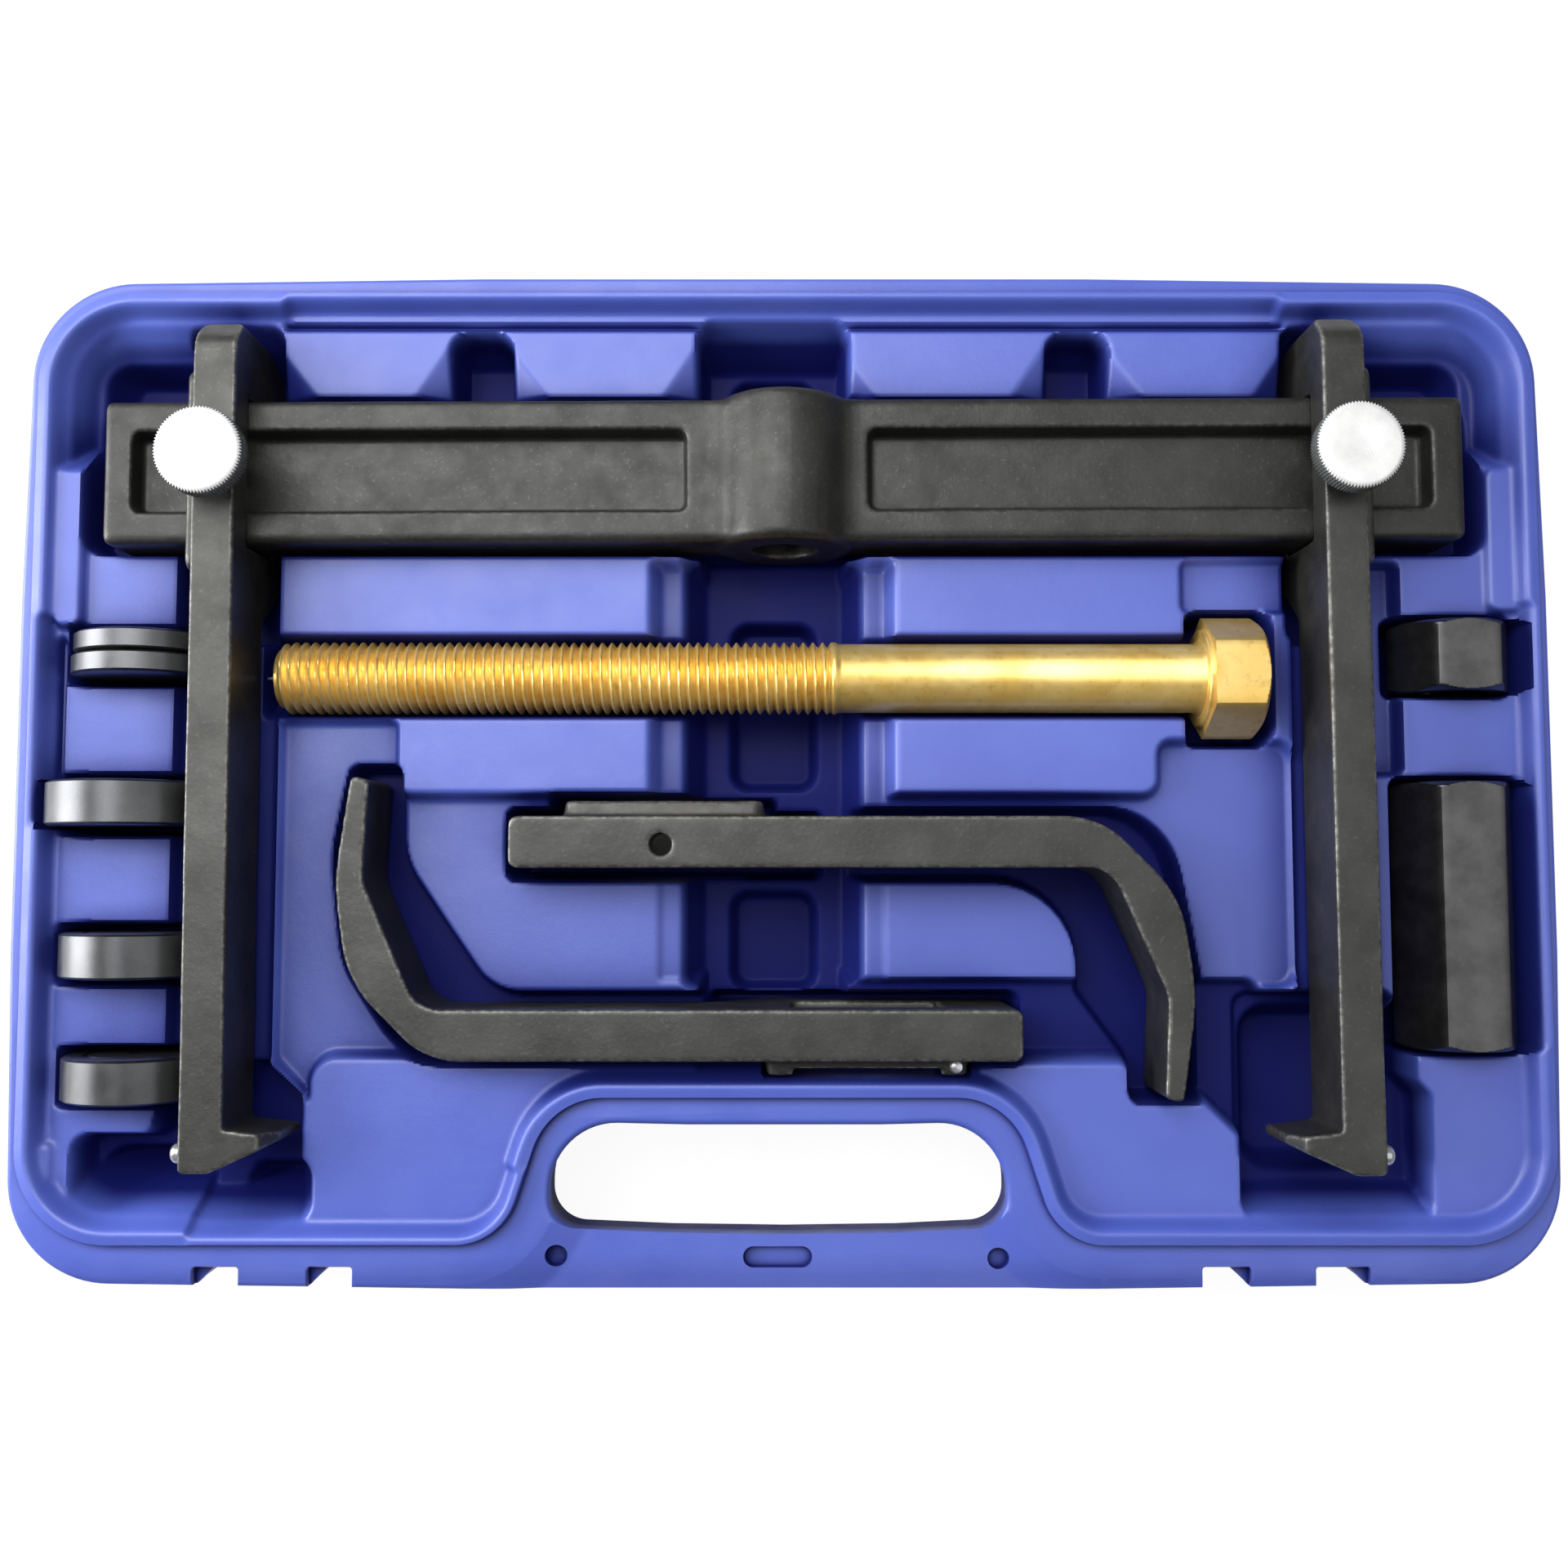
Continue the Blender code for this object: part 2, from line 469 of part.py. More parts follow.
def straight_arm(name, mat, side, centre_x, foot_y, parent):
    """A forged arm with a windowed head, an outer lug and an inward foot; side is -1 left, 1 right."""
    top, bottom, head = ARM_TOP_Z, ARM_TOP_Z - ARM_STEM, ARM_TOP_Z - ARM_HEAD
    y_bar = BAR_CENTRE.y
    t = ARM_T / 2
    inner, far_y = -side * t, foot_y - 5
    tip = inner - side * FOOT_REACH
    profile = outline(
        [
            (far_y, bottom, 0),
            (y_bar - 38, bottom, 5),
            (y_bar - 27, head, 4),
            (ARM_Y1 - 7.5, head, 5),
            (ARM_Y1, head + 14, 8),
            (ARM_Y1, top - 7, 6),
            (ARM_Y1 - 6.5, top, 7),
            (far_y, top, 0),
        ],
        3,
    )
    body = lofted(name, [[(x, p.x, p.y) for p in profile] for x in (-t - FOOT_REACH - 2, t + FOOT_REACH + 2)])
    # Seen from above: rounded back end, foot with a flat gripping side towards the head
    plan = outline(
        [
            (-inner, foot_y, 1.5),
            (-inner, ARM_Y1 + 0.4, 3.5),
            (inner, ARM_Y1 + 0.4, 3.5),
            (inner, foot_y + 10.9, 1.0),
            (tip, foot_y + 9.5, 0.8),
            (tip, foot_y + 7.2, 0.8),
            (inner * 0.35, foot_y, 3.0),
        ],
        3,
    )
    combine(body, [prism("plan", counter_clockwise(plan), head - 5, top + 5)], "INTERSECT")
    nose = [(tip + side * FOOT_REACH * 0.32, top + 1), (tip - side * 4, top + 1), (tip - side * 4, top - 14)]
    if side > 0:
        nose = nose[::-1]
    combine(body, [lofted("nose", [[(a, y, b) for a, b in nose] for y in (far_y - 20, far_y + 40)])])
    # Lug on the outer side round the window
    lug = box_outline(y_bar - LUG_HALF, head + 1.5, y_bar + LUG_HALF, top - 7.0, 3, 3)
    small = grown(lug, -0.9)
    x0, x1 = side * (t - 1.0), side * (t + LUG_OUT)
    boss = lofted("lug", [[(x0, p.x, p.y) for p in grown(lug, 0.3)], [(x1 - side * 0.8, p.x, p.y) for p in lug],
                          [(x1, p.x, p.y) for p in small]])
    combine(body, [boss], "UNION")
    bevelled(body, 1.1, 1, 50)
    window_top = top - ARM_WALL
    window = box_outline(y_bar - WINDOW_L / 2, window_top - WINDOW_H, y_bar + WINDOW_L / 2, window_top, 1.6, 2)
    cuts = [lofted("window", [[(x, p.x, p.y) for p in window] for x in (-20, 20)])]
    hole = turned("hole", [(window_top - 2, STEM_R + GAP), (top - 0.6, STEM_R + GAP), (top + 1, STEM_R + GAP + 1.6)], "Z", 20)
    cuts.append(moved(hole, 0, y_bar, 0))
    seat = turned("seat", [(t - 5.0, STUD_R + GAP), (t + 1.0, STUD_R + GAP)], "X", 18)
    if side < 0:
        seat.data.transform(Matrix.Rotation(math.pi, 4, "Z"))
    cuts.append(moved(seat, 0, foot_y + STUD_ALONG, STUD_Z))
    combine(body, cuts)
    moved(body, centre_x)
    return finish(askew(body), mat, askew_spot(centre_x, y_bar, window_top - WINDOW_H / 2), parent)


def arm_stud(name, mat, side, centre_x, foot_y, parent):
    """The bright headed pin in the outer side of the foot."""
    t = ARM_T / 2
    profile = [(t - 4.4, STUD_R - 0.2), (t + GAP, STUD_R), (t + STUD_OUT - 0.8, STUD_R), (t + STUD_OUT, STUD_R - 0.8)]
    stud = turned(name, profile, "X", 18)
    if side < 0:
        stud.data.transform(Matrix.Rotation(math.pi, 4, "Z"))
    moved(stud, centre_x, foot_y + STUD_ALONG, STUD_Z)
    return finish(askew(stud), mat, None, parent)


def thumbscrew(side_name, knob_mat, stem_mat, centre_x, parent):
    """A knurled knob pressed on a threaded stem that bears on the crossbar's panel."""
    under = ARM_TOP_Z + KNOB_LIFT
    place = askew_spot(centre_x, BAR_CENTRE.y, under)
    edge, narrow = KNOB_EDGE, KNOB_R - KNOB_EDGE
    knob = turned(
        f"thumbscrew_{side_name}_knob",
        [(0, STEM_R + GAP), (0, narrow), (edge, KNOB_R), (KNOB_H - edge, KNOB_R), (KNOB_H, narrow), (KNOB_H, 0)],
        "Z",
        48,
    )
    cup = turned("cup", [(-1, STEM_R + GAP), (KNOB_H - 2.0, STEM_R + GAP)], "Z", 20)
    combine(knob, [cup])
    moved(knob, *place)
    tip = BAR_CENTRE.z + BAR_Z / 2 - PANEL_DEPTH + GAP + 0.2 - under
    stem = turned(
        f"thumbscrew_{side_name}_stem",
        [(tip, 1.9), (tip + 1.2, STEM_R), (KNOB_H - 2.0 - GAP, STEM_R)],
        "Z",
        20,
    )
    moved(stem, *place)
    finish(stem, stem_mat, place, parent)
    finish(knob, knob_mat, place, stem)


# ---------------------------------------------------------------- screw, jaws, discs, nuts


def hexagon(radius_flat, turn=0.0):
    corner = radius_flat / math.cos(math.pi / 6)
    return [Vector((math.cos(turn + math.pi / 3 * i), math.sin(turn + math.pi / 3 * i))) * corner for i in range(6)]


def hex_block(name, length, axis, chamfer_low, chamfer_high):
    """A hexagonal bar with a flat on top; a chamfered end is cut by a cone."""
    ring = hexagon(HEX_AF / 2)
    to_world = {"X": lambda a, p: (a, p.x, p.y), "Y": lambda a, p: (p.x, a, p.y)}[axis]
    block = lofted(name, [[to_world(a, p) for p in ring] for a in (0.0, length)])
    flat, wide = HEX_AF / 2 - 0.3, HEX_AF / 2 / math.cos(math.pi / 6) + 3
    rise = (wide - flat) * math.tan(math.radians(31))
    low = [(0.0, flat), (rise, wide)] if chamfer_low else [(-1.0, wide)]
    high = [(length - rise, wide), (length, flat)] if chamfer_high else [(length + 1.0, wide)]
    return combine(block, [turned("cone", low + high, axis, 48, 0.3)], "INTERSECT")


def forcing_screw(mat):
    """The 3/4 inch forcing screw: threaded length, plain shank and hex head."""
    y, z = SCREW_AXIS.y, SCREW_AXIS.z
    profile = [
        (SCREW_TIP_X, 0),
        (SCREW_TIP_X, SCREW_R - 2.2),
        (SCREW_TIP_X + 0.7, SCREW_R - 1.0),
        (SCREW_TIP_X + 2.2, SCREW_R),
        (THREAD_END_X, SCREW_R),
        (THREAD_END_X + 0.8, SCREW_R - 0.35),
        (HEAD_X0 - 1.4, SCREW_R - 0.35),
        (HEAD_X0 - 0.3, SCREW_R + 0.7),
        (HEAD_X0 + 1.0, SCREW_R + 0.7),
        (HEAD_X0 + 1.0, 0),
    ]
    shank = turned("forcing_screw", profile, "X", 40)
    washer = turned("washer_face", [(HEAD_X0 - 0.6, HEX_AF / 2 - 1.2), (HEAD_X0 + 2, HEX_AF / 2 - 1.2)], "X", 40)
    head = moved(hex_block("head", HEAD_X1 - HEAD_X0, "X", False, True), HEAD_X0)
    combine(shank, [washer, head], "UNION")
    seat = turned("point_seat", [(SCREW_TIP_X - 1, 0.9), (SCREW_TIP_X + 5, 0.9)], "X", 16)
    combine(shank, [seat])
    moved(shank, 0, y, z)
    return finish(shank, mat, SCREW_AXIS)


def screw_point(mat, parent):
    """The small hardened centre that stands out of the screw's end."""
    x = SCREW_TIP_X
    profile = [(x - POINT_OUT, 0), (x - POINT_OUT + 1.5, 0.5), (x + 4.6, 0.6)]
    point = moved(turned("screw_point", profile, "X", 16), 0, SCREW_AXIS.y, SCREW_AXIS.z)
    return finish(point, mat, None, parent)


def jaw_outline(steps=5):
    """A curved jaw seen from above: u from its head end, v in from its outer side."""
    return outline(
        [
            (0, 0, 2.5),
            (151.8, 0, 22),
            (172.3, 20.5, 30),
            (176.0, 46, 60),
            (172.1, 73, 1.4),
            (167.4, 71.6, 1.4),
            (168.6, 46, 12),
            (154.3, JAW_T, 9),
            (0, JAW_T, 2.5),
        ],
        steps,
    )


def counter_clockwise(points):
    area = sum(points[i - 1].x * p.y - p.x * points[i - 1].y for i, p in enumerate(points))
    return points if area > 0 else points[::-1]


def jaw_upper_place():
    return lambda p: Vector((JAW_UPPER.x + p.x, JAW_UPPER.y - p.y))


def jaw_lower_place():
    return lambda p: Vector((JAW_LOWER.x - p.x, JAW_LOWER.y + p.y))


def curved_jaw(name, mat, place, hole_up):
    """A forged hook with the same windowed head as the arms; its clamp hole is on one side only."""
    top, bottom, head = JAW_TOP_Z, JAW_TOP_Z - JAW_STEM, JAW_TOP_Z - ARM_HEAD
    points = counter_clockwise([place(p) for p in jaw_outline()])
    jaw = prism(name, points, head, top)
    # The head is deeper than the stem and slopes back up to it
    side = outline([(JAW_DEEP_U, head - 5, 0), (200, head - 5, 0), (200, bottom, 0), (JAW_SLOPE_U, bottom, 5),
                    (JAW_DEEP_U, head, 0)], 3)
    slopes = [[(*place(Vector((p.x, v))), p.y) for p in side] for v in (-20.0, 90.0)]
    combine(jaw, [lofted("underside", slopes)])
    lug = box_outline(JAW_WINDOW_U - LUG_HALF, head + 1.5, JAW_WINDOW_U + LUG_HALF, top - 7.0, 3, 3)
    levels = ((1.0, grown(lug, 0.3)), (-LUG_OUT + 0.8, lug), (-LUG_OUT, grown(lug, -0.9)))
    combine(jaw, [lofted("lug", [[(*place(Vector((p.x, v))), p.y) for p in ring] for v, ring in levels])], "UNION")
    bevelled(jaw, 1.3, 1, 50)
    wall = ARM_WALL if hole_up else ARM_HEAD - ARM_WALL - WINDOW_H
    window = box_outline(
        JAW_WINDOW_U - WINDOW_L / 2, top - wall - WINDOW_H, JAW_WINDOW_U + WINDOW_L / 2, top - wall, 1.6, 2
    )
    cuts = [lofted("window", [[(*place(Vector((p.x, v))), p.y) for p in window] for v in (-20, 30)])]
    spot = place(Vector((JAW_WINDOW_U - 0.2, JAW_T / 2 + 0.6)))
    low, high = (top - wall - 2, top + 1) if hole_up else (head - 1, top - wall - WINDOW_H + 2)
    cuts.append(moved(turned("hole", [(low, 2.85), (high, 2.85)], "Z", 20), spot.x, spot.y, 0))
    combine(jaw, cuts)
    middle = place(Vector((JAW_WINDOW_U, JAW_T / 2)))
    return finish(jaw, mat, (middle.x, middle.y, bottom))


def disc(name, radius, thickness, x, y, mat):
    """A pressure disc on its edge, with a centre for the screw's point."""
    half, chamfer = thickness / 2, 0.6
    profile = [
        (-half, 0),
        (-half, radius - chamfer),
        (-half + chamfer, radius),
        (half - chamfer, radius),
        (half, radius - chamfer),
        (half, 2.2),
        (half - 1.6, 0),
    ]
    body = moved(turned(name, profile, "Y", 48), x, y, DISC_Z)
    return finish(body, mat, (x, y, DISC_Z))


def nut(name, x, y, length, mat):
    """A hex nut with both ends chamfered and a countersunk bore along Y."""
    body = hex_block(name, length, "Y", True, True)
    r = BOSS_BORE_R
    bore = turned("bore", [(-1, r + 2.3), (1.3, r), (length - 1.3, r), (length + 1, r + 2.3)], "Y", 28)
    combine(body, [bore])
    moved(body, x, y - length / 2, NUT_Z)
    return finish(body, mat, (x, y, NUT_Z))


# ---------------------------------------------------------------- assembly


def main():
    for obj in list(bpy.data.objects):
        bpy.data.objects.remove(obj)
    plastic = material("blue_plastic", (0.075, 0.11, 0.62), 0.42, 0.0)
    forged = material("black_oxide", (0.055, 0.055, 0.052), 0.5, 0.75)
    turned_black = material("black_turned", (0.03, 0.03, 0.03), 0.32, 0.8)
    gold = material("yellow_zinc", (0.78, 0.50, 0.13), 0.3, 1.0)
    bright = material("bright_zinc", (0.82, 0.83, 0.84), 0.3, 1.0)

    case_tray(plastic)
    bar = crossbar(forged)
    for side_name, side, x, foot_y in ARMS:
        arm = straight_arm("arm_" + side_name, forged, side, x, foot_y, bar)
        arm_stud("foot_stud_" + side_name, bright, side, x, foot_y, arm)
        thumbscrew(side_name, bright, bright, x, arm)
    screw = forcing_screw(gold)
    screw_point(gold, screw)
    curved_jaw("jaw_upper", forged, jaw_upper_place(), True)
    curved_jaw("jaw_lower", forged, jaw_lower_place(), False)
    for name, radius, thickness, x, y in DISCS:
        disc(name, radius, thickness, x, y, turned_black)
    for name, x, y, length in NUTS:
        nut(name, x, y, length, turned_black)


main()
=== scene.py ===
"""The looks of a bridge puller kit in its moulded case: crossbar, arms, jaws, screw, discs and nuts.

Lengths inside this script are in millimetres and become metres when a mesh is made.
"""

import math

import bpy  # noqa: E402
import numpy as np  # noqa: E402
from mathutils import Matrix, Vector  # noqa: E402
from mathutils.bvhtree import BVHTree  # noqa: E402


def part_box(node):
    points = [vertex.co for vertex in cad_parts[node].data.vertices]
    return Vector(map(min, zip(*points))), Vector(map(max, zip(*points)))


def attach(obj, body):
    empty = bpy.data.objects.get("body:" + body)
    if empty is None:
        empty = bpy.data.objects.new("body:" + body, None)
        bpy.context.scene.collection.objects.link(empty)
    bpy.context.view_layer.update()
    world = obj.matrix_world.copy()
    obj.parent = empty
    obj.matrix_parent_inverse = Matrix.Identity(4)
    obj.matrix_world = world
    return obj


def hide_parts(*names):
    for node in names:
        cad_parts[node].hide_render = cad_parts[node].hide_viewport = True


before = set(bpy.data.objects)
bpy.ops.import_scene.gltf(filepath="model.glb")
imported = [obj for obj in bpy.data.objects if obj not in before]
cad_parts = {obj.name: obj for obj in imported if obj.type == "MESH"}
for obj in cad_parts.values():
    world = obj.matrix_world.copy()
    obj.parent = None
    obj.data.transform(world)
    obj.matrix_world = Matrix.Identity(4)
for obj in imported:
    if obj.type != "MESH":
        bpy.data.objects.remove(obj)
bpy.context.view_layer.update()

MM = 0.001
DISC_NAMES = ("disc_thin_back", "disc_thin_front", "disc_large", "disc_medium", "disc_small")
HEX_FLAT = 14.3  # half the hexagons' width across flats
PITCH = 2.54  # of the forcing screw and the nuts: ten threads to the inch


def box_mm(node):
    """Lowest and highest corner of a CAD node, in millimetres."""
    low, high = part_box(node)
    return low / MM, high / MM


def middle_mm(node):
    """Centre of a CAD node's box, in millimetres."""
    low, high = box_mm(node)
    return (low + high) / 2


# ---------------------------------------------------------------- outlines and meshes


def arc_corner(before, corner, after, radius, steps):
    """The points of one rounded corner, or the corner itself where it is sharp or nearly straight."""
    to_before = (before - corner).normalized()
    to_after = (after - corner).normalized()
    half = math.acos(max(-1.0, min(1.0, to_before.dot(to_after)))) / 2
    if radius <= 0 or half > math.radians(88):
        return [corner]
    centre = corner + (to_before + to_after).normalized() * (radius / math.sin(half))
    first = corner + to_before * (radius / math.tan(half)) - centre
    last = corner + to_after * (radius / math.tan(half)) - centre
    sweep = math.atan2(first.x * last.y - first.y * last.x, first.dot(last))
    return [centre + Matrix.Rotation(sweep * i / steps, 2) @ first for i in range(steps + 1)]


def outline(corners, steps=8):
    """A closed outline from (x, y, radius) corners, as 2-D vectors."""
    spots = [Vector(c[:2]) for c in corners]
    points = []
    for i, corner in enumerate(corners):
        points += arc_corner(spots[i - 1], spots[i], spots[(i + 1) % len(spots)], corner[2], steps)
    return points


def box_outline(x0, y0, x1, y1, radius, steps=8):
    return outline([(x0, y0, radius), (x1, y0, radius), (x1, y1, radius), (x0, y1, radius)], steps)


def grown(points, amount):
    """The outline moved out by an amount, corner by corner."""
    out = []
    for i, point in enumerate(points):
        a = (point - points[i - 1]).normalized()
        b = (points[(i + 1) % len(points)] - point).normalized()
        normal = Vector((a.y + b.y, -a.x - b.x)).normalized()
        out.append(point + normal * (amount / max(0.5, normal.dot(Vector((a.y, -a.x))))))
    return out


def mesh_object(name, points, faces):
    """A mesh object from points in millimetres."""
    mesh = bpy.data.meshes.new(name)
    mesh.from_pydata([tuple(p) for p in np.asarray(points, float) * MM], [], faces)
    mesh.validate()
    obj = bpy.data.objects.new(name, mesh)
    bpy.context.scene.collection.objects.link(obj)
    return obj


def ring_faces(rings, count, close):
    """Faces between neighbouring rings of points, with caps or, when closed, back to the first ring."""
    faces = []
    for k in range(rings if close else rings - 1):
        low, high = k * count, (k + 1) % rings * count
        for i in range(count):
            j = (i + 1) % count
            faces.append((low + i, low + j, high + j, high + i))
    if not close:
        faces.append(tuple(range(count))[::-1])
        faces.append(tuple(range((rings - 1) * count, rings * count)))
    return faces


def lofted(name, rings):
    """A closed mesh object from rings of 3-D points, each as long as the next, counter-clockwise."""
    points = [p for ring in rings for p in ring]
    return mesh_object(name, points, ring_faces(len(rings), len(rings[0]), False))


def prism(name, points, z0, z1, change=0.0):
    """An outline pulled up along Z, grown by change on its way."""
    levels = ((points, z0), (grown(points, change), z1))
    return lofted(name, [[(p[0], p[1], z) for p in ring] for ring, z in levels])


def spun(name, profile, axis, centre, count=64, shape=None, close=False):
    """A turned solid from (along, radius) pairs; shape may change the radius by place and angle."""
    along, radius = (np.array(column, float)[:, None] for column in zip(*profile))
    angle = np.arange(count)[None, :] * (2 * math.pi / count)
    size = radius + 0 * angle if shape is None else shape(along, angle, radius)
    a, b = size * np.cos(angle), size * np.sin(angle)
    along = along + 0 * angle
    x, y, z = {"X": (along, a, b), "Y": (b, along, a), "Z": (a, b, along)}[axis]
    points = np.stack([x, y, z], -1).reshape(-1, 3) + np.array(centre)
    return mesh_object(name, points, ring_faces(len(profile), count, close))


def thread(pitch, depth, start, end, fade=1.5):
    """A shape for spun: a helical thread cut into the radius between two places along the axis."""

    def shape(along, angle, radius):
        turns = (along / pitch - angle / (2 * math.pi)) % 1.0
        cut = np.clip(1.2 * (1 - np.abs(2 * turns - 1)) - 0.12, 0, 1)
        fading = np.clip((along - start) / fade, 0, 1) * np.clip((end - along) / fade, 0, 1)
        return radius - depth * cut * fading

    return shape


def hexagonal(along, angle, radius):
    """A shape for spun: the radius kept inside a hexagon with slightly blunt corners."""
    third = math.pi / 3
    flat = HEX_FLAT / np.cos((angle + third / 2) % third - third / 2)
    return np.minimum(radius, np.minimum(flat, HEX_FLAT / math.cos(third / 2) - 0.3))


def flat_on_top(along, angle, radius):
    """The hexagon of a piece that lies along X, where angle 0 points along Y."""
    return hexagonal(along, angle + math.pi / 6, radius)


def steps_between(start, end, step):
    """Even places from start to end, about a step apart."""
    count = max(1, round(abs(end - start) / step))
    return [start + (end - start) * i / count for i in range(count + 1)]


def signed_volume(obj):
    """Six times the volume, negative when the faces look inwards."""
    obj.data.calc_loop_triangles()
    corners = np.array([[obj.data.vertices[i].co for i in t.vertices] for t in obj.data.loop_triangles])
    return float(np.linalg.det(corners).sum())


def applied(obj):
    """Bakes the object's modifiers into its mesh."""
    graph = bpy.context.evaluated_depsgraph_get()
    mesh = bpy.data.meshes.new_from_object(obj.evaluated_get(graph))
    obj.modifiers.clear()
    obj.data = mesh
    return obj


def combined(obj, other, operation="DIFFERENCE"):
    """Cuts, joins or keeps what two solids share, and removes the second."""
    cut = obj.modifiers.new("cut", "BOOLEAN")
    cut.operation, cut.solver, cut.object = operation, "MANIFOLD", other
    applied(obj)
    bpy.data.objects.remove(other)
    return obj


def smooth(obj, degrees=35):
    obj.data.polygons.foreach_set("use_smooth", [True] * len(obj.data.polygons))
    obj.data.set_sharp_from_angle(angle=math.radians(degrees))
    return obj


def dressed(obj, material, body, node, degrees=35):
    """Gives a piece its material, ties it to its body and hides the CAD node it stands for."""
    smooth(obj, degrees)
    obj.data.materials.clear()
    obj.data.materials.append(material)
    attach(obj, body)
    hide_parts(node)
    return obj


# ---------------------------------------------------------------- tray: heights

FLANGE_Z, RIM_Z, LAND_Z, MID_Z, LOW_Z = 40.5, 43.5, 38.5, 33.8, 29.0
CHANNEL_Z, SLOPE_FOOT_Z = 20.0, 38.3
TRAY_BOW, TRAY_CORNER = 1.6, 27.0
CREASE = 3.2  # width of the raised rim
NARROWER = 1.4  # how much of it the inner wall takes away beside the tongues
WALL_SLOPE, FOOT_SLOPE, CROWN_SLOPE = 1.75, 3.0, 0.25  # of the rim's inner wall and of its top
STEP = 0.6  # grid spacing
SOFTEN = 0.52  # standard deviation of the moulded edges' rounding
MARGIN = 2.4  # of the grid beyond the case
FADE = 1.5  # length over which the rim's wall steps in or out
WELL = outline(
    [
        (-193.8, -117.6, 21), (-74.5, -117.6, 13), (-62.5, -80.4, 22), (60.5, -80.4, 22),
        (72.5, -117.6, 13), (194.6, -117.6, 21), (194.6, 124.6, 22), (-193.8, 124.6, 22),
    ],
    16,
)
TRAY_LOW, TRAY_HIGH = box_mm("case_tray")
xs = np.arange(TRAY_LOW.x - MARGIN, TRAY_HIGH.x + MARGIN + STEP, STEP)
ys = np.arange(TRAY_LOW.y - MARGIN, TRAY_HIGH.y + MARGIN + STEP, STEP)
heights = np.full((len(ys), len(xs)), LAND_Z)


def window(points, margin):
    """The part of the grid round an outline, as two slices."""
    x = [p[0] for p in points]
    y = [p[1] for p in points]
    i0, i1 = np.searchsorted(xs, (min(x) - margin, max(x) + margin))
    j0, j1 = np.searchsorted(ys, (min(y) - margin, max(y) + margin))
    return slice(j0, j1), slice(i0, i1)


def signed_distance(points, part):
    """Distance of the grid's points from a closed outline, negative inside."""
    px, py = np.meshgrid(xs[part[1]], ys[part[0]])
    best = np.full(px.shape, 1e9)
    inside = np.zeros(px.shape, bool)
    for a, b in zip(points, points[1:] + points[:1]):
        ex, ey = b[0] - a[0], b[1] - a[1]
        length = ex * ex + ey * ey
        if length < 1e-12:
            continue
        wx, wy = px - a[0], py - a[1]
        along = np.clip((wx * ex + wy * ey) / length, 0, 1)
        best = np.minimum(best, (wx - ex * along) ** 2 + (wy - ey * along) ** 2)
        if ey:
            crossing = (a[1] <= py) != (b[1] <= py)
            inside ^= crossing & (px < a[0] + wy * ex / ey)
    return np.where(inside, -1, 1) * np.sqrt(best)


def sink(points, floor, draft=0.07, level=LAND_Z):
    """A pocket: its outline is at a level, and its walls lean in by draft times their height."""
    part = window(points, 4)
    distance = signed_distance(points, part)
    pocket = np.maximum(floor, level + distance / draft)
    heights[part] = np.minimum(heights[part], pocket)


def lift(points, top, draft=0.2):
    """A raised place with walls that lean out."""
    part = window(points, 8)
    distance = signed_distance(points, part)
    heights[part] = np.maximum(heights[part], top - np.maximum(distance, 0) / draft)


def facet(points, line, slope):
    """Inside an outline, the ground falls away from a line by slope, on the line's right-hand side."""
    part = window(points, 2)
    px, py = np.meshgrid(xs[part[1]], ys[part[0]])
    (ax, ay), (bx, by) = line
    length = math.hypot(bx - ax, by - ay)
    beyond = ((px - ax) * (by - ay) - (py - ay) * (bx - ax)) / length
    plane = LAND_Z - slope * np.maximum(beyond, 0)
    inside = signed_distance(points, part) < 0
    heights[part] = np.where(inside, np.minimum(heights[part], plane), heights[part])


def round_bed(x0, x1, y0, y1, centre, radius, along_x):
    """A round-bottomed trough for a bar or a disc that lies along X or along Y."""
    part = window([(x0, y0), (x1, y1)], 0)
    off = ys[part[0]][:, None] - centre.y if along_x else xs[part[1]][None, :] - centre.x
    bed = centre.z - np.sqrt(np.maximum(radius**2 - off**2, 0))
    heights[part] = np.minimum(heights[part], bed)


